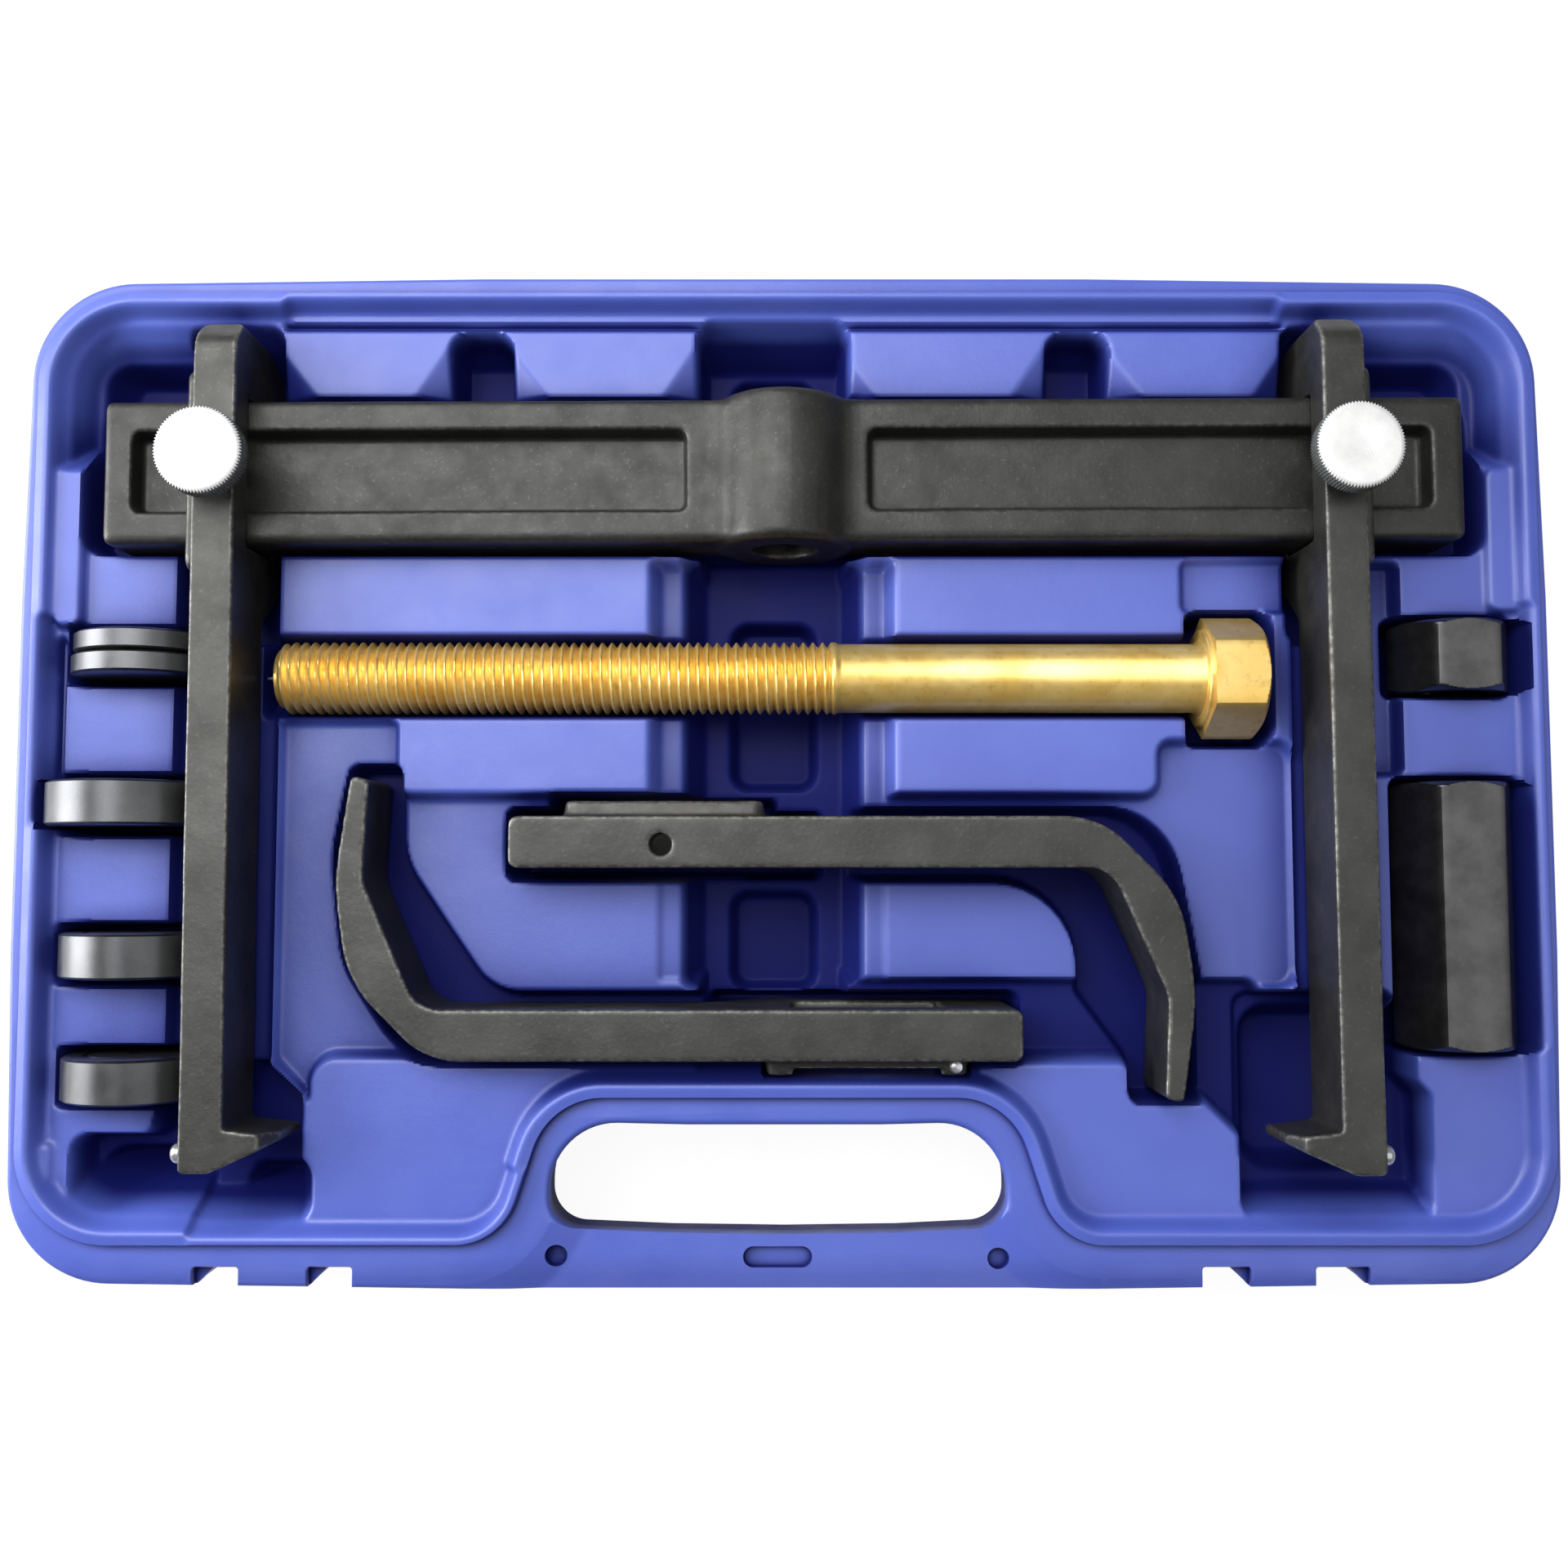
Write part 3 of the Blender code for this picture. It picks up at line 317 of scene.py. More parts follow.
def lands_and_levels():
    """Shallow grooves, lower levels, slanted corners and raised ledges of the lands."""
    # Grooves between the rim's inner wall and the lands
    sink(box_outline(-134, 119.2, 134, 120.6, 0.5), MID_Z + 1, 0.15)
    sink(box_outline(-192.2, -92, -189.9, 36, 1.0), MID_Z - 5, 0.08)
    # Lower levels
    sink(
        outline([(-134.2, 15, 3), (-134.2, -75, 4), (-123.1, -86.6, 1), (-123.1, -74, 7),
                 (-21, -74, 4), (-21, -5.2, 2), (-101.4, -5.2, 3), (-101.4, 15, 3)]),
        MID_Z, 0.3,
    )
    sink(
        outline([(14, -57, 4), (135.2, -57, 6), (135.2, 9.2, 6), (98.2, 9.2, 4),
                 (98.2, -5.2, 4), (14, -5.2, 4)]),
        MID_Z, 0.3,
    )
    sink(
        outline([(14, -75.2, 4), (89.6, -75.2, 2), (89.6, -85.2, 3), (109, -85.2, 3),
                 (119, -95, 1), (126, -95, 2), (126, -53, 5), (14, -53, 4)]),
        LOW_Z, 0.2,
    )
    sink(box_outline(147, -0.6, 162.6, 56.2, 2), MID_Z, 0.15)
    sink(box_outline(105.2, 42.6, 134.6, 56.6, 2), MID_Z + 2.2, 0.2)
    # Slanted corners of the lands behind the crossbar
    for x0, x1 in ((-134.1, -89.2), (-72.4, -23.0), (15.3, 70.0), (86.5, 134.5)):
        left, right = x0 + 9.5, x1 - 9.0
        facet(box_outline(x0 - 1, 96, left + 3, 117, 0), ((x0 - 0.2, 113.4), (left + 2, 98.5)), 0.55)
        facet(box_outline(right - 3, 96, x1 + 1, 117, 0), ((right - 2, 98.5), (x1 + 0.2, 115.6)), 0.55)
    # High ledges at the ends of the crossbar, and a low rib along the left wall
    lift(outline([(-192.4, 39, 3), (-185.2, 39, 2), (-185.2, 82, 2), (-192.4, 82, 4)]), 41.0, 0.25)
    lift(outline([(186.0, 43, 2), (195.4, 43, 2), (195.4, 82, 2), (186.0, 82, 4)]), 40.2, 0.25)
    lift(box_outline(-191.6, -112, -189.2, -96, 1.1), 40.0, 0.3)


def deep_pockets():
    """The crossbar's bed, the channel along the middle, finger notches and the back corners."""
    bar_low = box_mm("crossbar")[0]
    sink(box_outline(-184.6, 58.5, 184.6, 100.0, 4), 26.2, 0.04)
    # The channel along the middle, its shoulders and its dimples
    sink(box_outline(-35.7, -57, 29.6, 58, 3), MID_Z - 0.8, 0.55)
    sink(box_outline(-27.0, -57, 21.4, 58, 4), CHANNEL_Z, 0.42, MID_Z - 0.8)
    sink(box_outline(-23.4, -78.2, 17.6, 121.4, 5), CHANNEL_Z, 0.12)
    sink(box_outline(-24.0, 58.3, 23.0, 101.0, 5), bar_low.z - 0.3, 0.04)
    for y0, y1 in ((100, 110.6), (-3.5, 42.5), (-58, -31)):
        sink(box_outline(-14.6, y0, 8.9, y1, 5), 12.5, 0.2, CHANNEL_Z)
    for x in (-80.8, 78.4):
        sink(box_outline(x - 8.3, 96, x + 8.3, 118.2, 5), 21.5, 0.08)
    # Corner pockets in two steps
    sink(outline([(-193.4, 82, 5), (-134, 82, 3), (-134, 120.4, 3), (-193.4, 120.4, 17)]), 30.6, 0.85)
    sink(outline([(133, 82, 3), (194.2, 82, 5), (194.2, 120.4, 17), (133, 120.4, 3)]), 30.6, 0.85)
    sink(box_outline(-184.6, 90, -150, 112.4, 7), CHANNEL_Z, 0.35, 30.6)
    sink(box_outline(149, 90, 183.4, 112.4, 7), CHANNEL_Z, 0.35, 30.6)


def arm_pockets():
    """A slot for each arm's stem and head, and a stepped well for its foot."""
    for stem_x0, head_x0, x1 in ((-159.8, -159.8, -134.2), (134.5, 133.2, 154.8)):
        sink(box_outline(stem_x0, -98, x1, 117, 3), 33.4, 0.05)
        sink(box_outline(head_x0, 35, x1, 119.6, 4), 18.0, 0.05)
    foot_left = [(-184.5, -117.0, 9), (-125.2, -117.0, 5), (-125.2, -84.2, 3), (-135.2, -74.8, 3),
                 (-159.8, -74.8, 3), (-163.6, -93.6, 3), (-184.5, -93.6, 5)]
    inner_left = [(-145.6, -114, 4), (-126.2, -114, 4), (-126.2, -102.4, 3), (-139.8, -102.4, 3)]
    foot_right = [(118.4, -117.0, 7), (167.6, -117.0, 6), (167.6, -83.6, 3), (159, -75, 3),
                  (159, -56.6, 5), (118.4, -56.6, 5)]
    sink(outline(foot_left), 26.0, 0.12)
    sink(box_outline(-182, -115.4, -151, -98.5, 8), 14.5, 0.2, 26.0)
    sink(outline(inner_left), 17.8, 0.35, 26.0)
    sink(outline(foot_right), 26.0, 0.12)
    sink(box_outline(121.6, -104.8, 160.5, -61, 8), 14.0, 0.3, 26.0)


def piece_beds():
    """Beds of the screw, the discs, the nuts and the jaws."""
    # Forcing screw
    axis, high = middle_mm("forcing_screw"), box_mm("forcing_screw")[1]
    bed_end = high.x - 17.5
    round_bed(-138.2, bed_end, axis.y - 10.4, axis.y + 10.4, axis, 10.4, True)
    sink(box_outline(-138.2, axis.y - 10.6, bed_end, axis.y + 10.6, 1.0), axis.z, 0.1)
    sink(box_outline(bed_end - 1.7, 7.4, high.x + 3.2, 43.0, 3), 19.8, 0.07)
    # Discs and nuts
    for name in DISC_NAMES:
        low, high = box_mm(name)
        centre, radius = (low + high) / 2, (high.x - low.x) / 2 + 0.6
        x0, x1 = centre.x - radius, centre.x + radius
        round_bed(x0, x1, low.y - 1.6, high.y + 1.6, centre, radius, False)
        sink(box_outline(x0, low.y - 1.8, -158, high.y + 1.8, 1.2), centre.z, 0.1)
    for name, end in (("hex_nut", 191.6), ("coupling_nut", 194.6)):
        low, high = box_mm(name)
        sink(box_outline(159.4, low.y - 1.1, end, high.y + 1.1, 2.5), low.z - 0.3, 0.05)
    # Jaws: a curved bed for each stem, a deep one for its windowed head and one for its lug
    lower = [(-114.9, 2.4, 3), (-119.4, -22, 40), (-116.2, -50, 25), (-99.5, -75.6, 20), (62.6, -75.6, 3),
             (62.6, -57.4, 3), (-77, -57.4, 14), (-100.7, -22.6, 20), (-100.7, 2.4, 3)]
    upper = [(-73.4, -28.2, 3), (77.4, -28.2, 22), (77.4, -57.6, 1), (90, -74.5, 2), (90, -85.6, 3),
             (109.2, -85.6, 3), (109.2, -53, 4), (104.6, -26, 20), (99.2, -8.8, 20), (-73.4, -8.8, 3)]
    sink(outline(lower), 22.6, 0.05)
    sink(outline(upper), 22.6, 0.05)
    sink(box_outline(-21, -75.6, 62.6, -57.4, 3), 9.6, 0.05)
    sink(box_outline(-73.4, -28.2, 11, -8.8, 3), 9.6, 0.05)
    sink(box_outline(-21, -79.8, 50.4, -60, 2), 9.6, 0.05)
    sink(box_outline(-62.0, -26.0, -1.5, -5.4, 2), 9.6, 0.05)


def rim():
    """The raised rim and its inner wall; between the tongues of the wide rim the wall lies further out."""
    whole = (slice(None), slice(None))
    distance = signed_distance(WELL, whole)
    px, py = np.meshgrid(xs, ys)

    def between(values, low, high):
        return np.clip((values - low) / FADE, 0, 1) * np.clip((high - values) / FADE, 0, 1)

    left = np.maximum(between(py, -14, 42), np.clip((-101 - py) / FADE, 0, 1) * (px > -152))
    side = np.where(px < 0, left, between(py, -72, 45))
    side = np.maximum(side, between(px, -133, 132) * (py > 100))
    inner = distance - NARROWER * side
    wall = np.minimum(RIM_Z - CROWN_SLOPE * np.abs(inner), RIM_Z + inner * WALL_SLOPE)
    wall = np.maximum(wall, np.minimum(SLOPE_FOOT_Z, RIM_Z + (inner + 1.9) * FOOT_SLOPE))
    return np.where(distance > 0.5, wall, np.maximum(heights, wall))


def softened(field, sigma):
    """The field with its edges rounded by a Gaussian blur."""
    taps = int(3 * sigma / STEP) + 1
    kernel = np.exp(-0.5 * (np.arange(-taps, taps + 1) * STEP / sigma) ** 2)
    kernel /= kernel.sum()
    for axis in (0, 1):
        pad = [(taps, taps) if a == axis else (0, 0) for a in (0, 1)]
        padded = np.pad(field, pad, "edge")
        total = np.zeros_like(field)
        for k, weight in enumerate(kernel):
            rows = slice(k, k + field.shape[0]) if axis == 0 else slice(None)
            columns = slice(k, k + field.shape[1]) if axis == 1 else slice(None)
            total += weight * padded[rows, columns]
        field = total
    return field


def clearances(gap=0.35):
    """The most height that the ground may have under each loose piece."""
    most = np.full(heights.shape, 1e9)
    up = Vector((0, 0, 1))
    for name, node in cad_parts.items():
        if name == "case_tray":
            continue
        part = window(box_mm(name), 0.5)
        corners = [v.co for v in node.data.vertices]
        tree = BVHTree.FromPolygons(corners, [p.vertices for p in node.data.polygons])
        for j in range(part[0].start, part[0].stop):
            for i in range(part[1].start, part[1].stop):
                hit = tree.ray_cast(Vector((xs[i] * MM, ys[j] * MM, -0.001)), up)[0]
                if hit is not None:
                    most[j, i] = min(most[j, i], hit.z / MM - gap)
    for axis in (0, 1):
        near = [np.roll(most, k, axis) for k in (-1, 0, 1)]
        most = np.minimum(np.minimum(near[0], near[1]), near[2])
    return most


def height_block(name, field, bottom):
    """A closed block with the height field as its upper face."""
    rows, columns = field.shape
    px, py = np.meshgrid(xs, ys)
    points = np.stack([px, py, field], -1).reshape(-1, 3)
    index = np.arange(rows * columns).reshape(rows, columns)
    quads = np.stack([index[:-1, :-1], index[:-1, 1:], index[1:, 1:], index[1:, :-1]], -1).reshape(-1, 4)
    edge = np.concatenate([index[0, :-1], index[:-1, -1], index[-1, :0:-1], index[:0:-1, 0]])
    under = points[edge].copy()
    under[:, 2] = bottom
    below = np.arange(len(points), len(points) + len(edge))
    sides = np.stack([edge, below, np.roll(below, -1), np.roll(edge, -1)], -1)
    mesh = bpy.data.meshes.new(name)
    corners = np.concatenate([quads.reshape(-1), sides.reshape(-1), below[::-1]])
    counts = np.concatenate([np.full(len(quads) + len(sides), 4), [len(below)]])
    everything = np.concatenate([points, under]) * MM
    mesh.vertices.add(len(everything))
    mesh.vertices.foreach_set("co", everything.reshape(-1))
    mesh.loops.add(len(corners))
    mesh.loops.foreach_set("vertex_index", corners)
    mesh.polygons.add(len(counts))
    mesh.polygons.foreach_set("loop_start", np.concatenate([[0], np.cumsum(counts)[:-1]]))
    mesh.update(calc_edges=True)
    mesh.validate()
    obj = bpy.data.objects.new(name, mesh)
    bpy.context.scene.collection.objects.link(obj)
    return obj


# ---------------------------------------------------------------- tray: outside


def tray_outline(inset=0.0):
    """The case's outer edge: long sides that bow out a little between round corners."""
    hx, hy = TRAY_HIGH.x - inset, TRAY_HIGH.y - inset
    mid_x, mid_y, corner = hx * 0.4, hy * 0.35, TRAY_CORNER - inset
    quarter = [(hx, mid_y, 0), (hx - TRAY_BOW, hy - TRAY_BOW, corner), (mid_x, hy, 0)]
    half = quarter + [(-x, y, r) for x, y, r in quarter[::-1]]
    return outline(half + [(-x, -y, r) for x, y, r in half], 20)


def levels_of(points, levels, name):
    """A cutter from an outline, with (growth, z) levels."""
    return lofted(name, [[(p.x, p.y, z) for p in grown(points, out)] for out, z in levels])


def outer_skin():
    """Rounded foot, drafted side, step under the flange and rounded flange edge."""
    rings = []
    for k in range(7):
        angle = math.pi / 2 * k / 6
        rings.append((10.0 - 7.0 * math.sin(angle), 7.0 - 7.0 * math.cos(angle)))
    rings += [(1.6, 33.2), (1.5, 34.2), (0.25, 34.9), (0.0, 35.4)]
    for k in range(5):
        angle = math.pi / 2 * k / 4
        rings.append((1.2 - 1.2 * math.cos(angle), FLANGE_Z - 1.2 + 1.2 * math.sin(angle)))
    rings.append((6.0, 60.0))
    return lofted("skin", [[(p.x, p.y, z) for p in tray_outline(inset)] for inset, z in rings])


def flange_cutter():
    """All that stands over the flange outside the rim's crease."""
    ring = prism("ring", tray_outline(-8.0), FLANGE_Z, 70)
    keep = (
        (0.3, 30), (0.3, FLANGE_Z + 0.2), (0.0, RIM_Z - 0.8),
        (-0.3, RIM_Z - 0.3), (-1.0, RIM_Z), (-1.0, 80),
    )
    return combined(ring, levels_of(grown(WELL, CREASE), keep, "keep"))


def handle_cutters():
    """The hand opening with its rounded edge, the thin underside and the pin seats in the handle."""
    hole = outline(
        [
            (-60.3, -117.2, 8), (-30, -118.5, 0), (0, -118.9, 0), (30, -118.5, 0),
            (57.1, -117.2, 8), (57.1, -90.2, 17), (25, -91.0, 0), (-25, -91.0, 0), (-60.3, -90.2, 17),
        ],
        14,
    )
    rings = [(2.6, -6), (0.8, 34)]
    for k in range(6):
        angle = math.pi / 2 * k / 5
        rings.append((1.8 - 1.8 * math.cos(angle), FLANGE_Z - 1.8 + 1.8 * math.sin(angle)))
    cutters = [levels_of(hole, rings + [(2.4, 60)], "hole")]
    under = outline([(-72, -140, 2), (70, -140, 2), (62, -84.5, 12), (-64, -84.5, 12)])
    cutters.append(prism("under", under, -8.0, 22.0, -2.4))
    seats = (
        box_outline(-61.7, -127.5, -55.3, -121.1, 3.19),
        box_outline(51.9, -128.3, 58.3, -121.9, 3.19),
        box_outline(-11.0, -127.9, 7.7, -121.6, 3.1),
    )
    levels = ((-0.7, 36.5), (-0.25, 39.8), (0.0, 40.2), (0.5, FLANGE_Z + 0.2), (1.0, 50))
    return cutters + [levels_of(points, levels, "seat") for points in seats]


def latch_cutters():
    """Latch seats in the front edge: a square notch in the flange over one with a slanted corner."""
    back, slant, lip_z = -126.9, 5.0, FLANGE_Z - 3.0
    seats = ((-151.5, -139.9, -1), (-122.1, -110.7, -1), (107.2, 119.6, 1), (136.3, 150.2, 1))
    cutters = []
    for x0, x1, side in seats:
        low = [(x0, -140, 0), (x1, -140, 0)]
        if side < 0:
            low += [(x1, back, 0.8), (x0 + slant, back, 0.8), (x0, back - slant, 0.8)]
        else:
            low += [(x1, back - slant, 0.8), (x1 - slant, back, 0.8), (x0, back, 0.8)]
        high = [(x0, -140, 0), (x1, -140, 0), (x1, back, 0.8), (x0, back, 0.8)]
        cutters.append(prism("latch_low", outline(low, 4), -5, FLANGE_Z - 1))
        rings = ((0.05, lip_z), (0.05, FLANGE_Z - 0.4), (0.4, FLANGE_Z + 0.05), (0.5, 60))
        cutters.append(levels_of(outline(high, 4), rings, "latch_high"))
    return cutters


def underside_cutters():
    """Three shallow panels under the case, between broad ribs."""
    levels = ((0.8, -3), (0.0, 0.4), (-0.8, 1.4))
    return [
        levels_of(box_outline(x0, -68, x1, 104, 9), levels, "panel")
        for x0, x1 in ((-174, -66), (-58, 58), (66, 174))
    ]


def tray(material):
    """The case: a height field cut to the outer skin, then the flange, handle, latch seats and panels."""
    lands_and_levels()
    deep_pockets()
    arm_pockets()
    piece_beds()
    field = np.minimum(softened(rim(), SOFTEN), clearances())
    body = height_block("tray", field, -3.0)
    body.modifiers.new("thin", "DECIMATE").ratio = 0.2
    applied(body)
    combined(body, outer_skin(), "INTERSECT")
    for cutter in [flange_cutter()] + handle_cutters() + latch_cutters() + underside_cutters():
        combined(body, cutter)
    return dressed(body, material, "case", "case_tray", 40)


# ---------------------------------------------------------------- forgings


def cad_copy(node):
    """A new object with a copy of a CAD node's mesh."""
    piece = bpy.data.objects.new(node + "_forging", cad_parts[node].data.copy())
    bpy.context.scene.collection.objects.link(piece)
    return piece


def round_boss():
    """The crossbar with its boss turned truly round and its bore cut again."""
    centre, radius, bore_radius = (0, 79, 36.6), 18.68, 8.5
    reach, facets = 20.0, 128
    bar = cad_copy("crossbar")
    weld = bar.modifiers.new("weld", "WELD")
    weld.merge_threshold = 0.002 * MM
    applied(bar)
    low, high = (corner.y - centre[1] for corner in box_mm("crossbar"))
    rounding = [(0.05, 2.0), (0.6, 0.9), (1.4, 0.25), (2.4, 0.0)]
    profile = [(low + inset, radius - less) for inset, less in rounding]
    profile += [(high - inset, radius - less) for inset, less in rounding[::-1]]
    combined(bar, spun("barrel", profile, "Y", centre, facets), "UNION")
    ends = [(low - reach, bore_radius), (high + reach, bore_radius)]
    return combined(bar, spun("bore", ends, "Y", centre, facets))


def forged(piece, node, body, material, voxel=0.6, rounds=5, keep=0.45):
    """A solid with its edges rounded by hammering and its faces slightly uneven."""
    even = piece.modifiers.new("even", "REMESH")
    even.mode, even.voxel_size = "VOXEL", voxel * MM
    soft = piece.modifiers.new("soft", "SMOOTH")
    soft.factor, soft.iterations = 0.5, rounds
    for scale, strength in ((0.016, 0.1), (0.0035, 0.05)):
        dents = bpy.data.textures.new("dents", "CLOUDS")
        dents.noise_scale, dents.noise_depth = scale, 1
        uneven = piece.modifiers.new("uneven", "DISPLACE")
        uneven.texture, uneven.strength = dents, strength * MM
    thin = piece.modifiers.new("thin", "DECIMATE")
    thin.ratio = keep
    return dressed(applied(piece), material, body, node, 60)


def counter_clockwise(points):
    """The outline turned round if it runs clockwise."""
    area = sum(points[i - 1].x * p.y - p.x * points[i - 1].y for i, p in enumerate(points))
    return points if area > 0 else points[::-1]


def jaw_blank(node, corner, direction, window_wall, hole_above):
    """A curved jaw's solid: u runs from its head along the stem, v from its outer side to the hook."""
    top = box_mm(node)[1].z
    head, bottom = top - 38.0, top - 25.0
    thickness, middle = 13.3, 39.4
    lug_half, lug_out = 26.4, 4.3
    window_half, window_high, window_top = 19.6, 20.8, top - window_wall
    hole_radius = 2.85

    def place(u, v):
        return corner[0] + direction * u, corner[1] - direction * v

    def across(name, side, v0, v1, growths=(0.0, 0.0)):
        rings = []
        for v, out in zip((v0, v1), growths):
            rings.append([(*place(p.x, v), p.y) for p in grown(side, out)])
        return lofted(name, rings)

    curve = outline(
        [
            (0, 0, 2.5), (151.8, 0, 22), (172.3, 20.5, 30), (176.0, 46, 60), (172.1, 73, 1.4),
            (167.4, 71.6, 1.4), (168.6, 46, 12), (154.3, thickness, 9), (0, thickness, 2.5),
        ],
        18,
    )
    plan = counter_clockwise([Vector(place(p.x, p.y)) for p in curve])
    jaw = prism(node + "_forging", plan, head, top)
    slope = outline(
        [(66.8, head - 5, 0), (200, head - 5, 0), (200, bottom, 0), (80.8, bottom, 5), (66.8, head, 0)]
    )
    lug = box_outline(middle - lug_half, head + 1.5, middle + lug_half, top - 7.0, 3)
    opening = box_outline(
        middle - window_half, window_top - window_high, middle + window_half, window_top, 1.6
    )
    for cutter, how in (
        (across("slope", slope, -20.0, 90.0), "DIFFERENCE"),
        (across("lug", lug, 1.0, -lug_out, (0.3, -0.6)), "UNION"),
        (across("opening", opening, -20.0, 30.0), "DIFFERENCE"),
    ):
        if signed_volume(cutter) < 0:
            cutter.data.flip_normals()
        combined(jaw, cutter, how)
    low, high = window_top - 2, top + 1
    if not hole_above:
        low, high = head - 1, window_top - window_high + 2
    spot = place(39.2, 7.25)
    hole = spun("clamp_hole", [(low, hole_radius), (high, hole_radius)], "Z", (*spot, 0), 40)
    return combined(jaw, hole)


def painted_glint_nub(material):
    """A small bright nub on the lug of the front jaw, placed as a painted highlight."""
    low, high = box_mm("jaw_lower")
    centre = (44.5, low.y + 2.3, high.z - 7.4)
    profile = [(-1.0, 1.9), (0.5, 1.8), (1.0, 1.4), (1.2, 0.6), (1.25, 0.05)]
    # Painted highlight: a bright bump standing in for the glint on the lug's corner.
    nub = spun("painted_glint_nub", profile, "Z", centre, 24)
    return dressed(nub, material, "lower_jaw", "jaw_lower")


# ---------------------------------------------------------------- turned and threaded pieces


def hex_profile(start, end, low_chamfer=True):
    """(along, radius) stations of a hex block whose ends are cut by a cone."""
    wide, flat = HEX_FLAT / math.cos(math.pi / 6) + 0.2, HEX_FLAT - 0.3
    rise, steps = (wide - flat) * math.tan(math.radians(31)), 8
    ends = [(flat + (wide - flat) * k / steps, rise * k / steps) for k in range(steps + 1)]
    low = [(start + a, r) for r, a in ends] if low_chamfer else [(start, wide)]
    return low + [(end - a, r) for r, a in ends[::-1]]


def forcing_screw(material):
    """The 3/4 inch screw: threaded length, plain shank, and a hex head on its washer face."""
    low, high = box_mm("forcing_screw")
    centre = middle_mm("forcing_screw")
    centre.x = 0
    tip, thread_end, head, end = low.x, 13.1, high.x - 15.0, high.x
    crest, lead_in = 9.6, 0.3
    profile = [(tip, 7.4), (tip + 0.3, 7.9), (tip + 1.0, 8.6)]
    for x in steps_between(tip + 1.4, thread_end + 0.6, 0.28):
        profile.append((x, min(crest, 8.8 + (x - tip) * lead_in)))
    profile += [(thread_end + 1.2, 9.2), (thread_end + 2.0, 9.15)]
    profile += [(head - 1.4, 9.15), (head - 0.4, 10.2), (head + 1, 10.3)]
    shape = thread(PITCH, 1.4, tip + 0.2, thread_end)
    shank = spun("screw_shank", profile, "X", centre, 48, shape)
    dressed(shank, material, "screw", "forcing_screw", 50)
    washer = [(head - 0.3, 12.6), (head, 13.0), (head + 0.7, 13.1)]
    hexagon = hex_profile(head + 0.75, end, False) + [(end, 3.0)]
    block = spun("screw_head", washer + hexagon, "X", centre, 96, flat_on_top)
    dressed(block, material, "screw", "forcing_screw", 25)


def screw_point(material):
    """The thin bright centre that stands out of the screw's tip."""
    low, high = box_mm("screw_point")
    centre = middle_mm("screw_point")
    profile = [(low.x, 0.1), (low.x + 0.3, 0.3), (low.x + 1.6, 0.52), (high.x, 0.55)]
    point = spun("screw_centre", profile, "X", (0, centre.y, centre.z), 24)
    dressed(point, material, "screw", "screw_point")


def knurled(along, angle, radius):
    """A shape for spun: fine ribs round the widest part of a knob."""
    ribs, depth, rim_from = 84, 0.36, 10.4
    return radius - depth * (0.5 + 0.5 * np.cos(angle * ribs)) * (radius > rim_from)


def thumbscrews(top_material, stem_material):
    """Knurled knobs on threaded stems."""
    for side in ("left", "right"):
        node, body = f"thumbscrew_{side}_knob", f"{side}_clamp"
        low, high = box_mm(node)
        centre = middle_mm(node)
        centre.z = low.z
        radius, height = (high.x - low.x) / 2, high.z - low.z
        profile = [(0, 2.0), (0, 3.4), (0, radius - 1.2), (0.25, radius - 0.7), (0.7, radius)]
        profile += [(height - 0.75, radius), (height - 0.3, radius - 0.65)]
        profile += [(height - 0.06, radius - 1.1), (height, radius - 1.6), (height, 3.2)]
        profile += [(height - 0.12, 2.6), (height - 0.12, 0.3)]
        knob = spun(f"{side}_knob", profile, "Z", centre, 504, knurled)
        dressed(knob, top_material, body, node, 50)
        node = f"thumbscrew_{side}_stem"
        low, high = box_mm(node)
        centre = middle_mm(node)
        centre.z = 0
        profile = [(low.z, 1.7), (low.z + 1.0, 2.4)]
        profile += [(z, 2.88) for z in steps_between(low.z + 1.4, high.z, 0.16)]
        stem = spun(f"{side}_stem", profile, "Z", centre, 32, thread(1.0, 0.5, low.z, high.z - 2.5))
        dressed(stem, stem_material, body, node, 50)


def foot_studs(material):
    """Bright domed pins in the outer side of each foot."""
    dome, steps = 1.8, 6
    for side, outward in (("left", -1), ("right", 1)):
        node = f"foot_stud_{side}"
        low, high = box_mm(node)
        centre = middle_mm(node)
        length, radius = high.x - low.x, (high.y - low.y) / 2
        profile = [(0, radius - 0.2), (length - dome, radius - 0.02)]
        for k in range(1, steps + 1):
            angle = math.pi / 2 * k / steps
            along = length - dome + dome * math.sin(angle)
            profile.append((along, max(0.1, (radius - 0.05) * math.cos(angle))))
        start = low.x if outward > 0 else high.x
        profile = [(start + outward * a, r) for a, r in profile]
        stud = spun(f"{side}_stud", profile[::outward], "X", (0, centre.y, centre.z), 40)
        dressed(stud, material, f"{side}_arm", node, 50)


def discs(material):
    """Pressure discs with turned faces, a centre hole on one side and a shallow ring groove."""
    groove_out, groove_in, groove_deep = 0.72, 0.66, 0.35
    for name in DISC_NAMES:
        low, high = box_mm(name)
        radius, half = (high.x - low.x) / 2, (high.y - low.y) / 2
        outer, inner = radius * groove_out, radius * groove_in
        edge = [(half, radius - 1.1), (half - 0.12, radius - 0.7), (half - 0.65, radius)]
        profile = [(-half, 0.1)] + [(-a, r) for a, r in edge] + edge[::-1]
        profile += [(half, outer), (half - groove_deep, outer - groove_deep)]
        profile += [(half - groove_deep, inner), (half, inner - groove_deep)]
        profile += [(half, 2.4), (half - 1.6, 0.2)]
        piece = spun(name + "_turned", profile, "Y", middle_mm(name), 128)
        dressed(piece, material, name + "_body", name, 25)


def nut_shape(half, depth, bore_limit=10.9):
    """A shape for spun: a hexagon outside and a thread in the bore."""
    inside = thread(PITCH, -depth, -half + 1.0, half - 1.0)

    def shape(along, angle, radius):
        in_bore = inside(along, angle, radius)
        return np.where(radius < bore_limit, in_bore, hexagonal(along, angle, radius))

    return shape


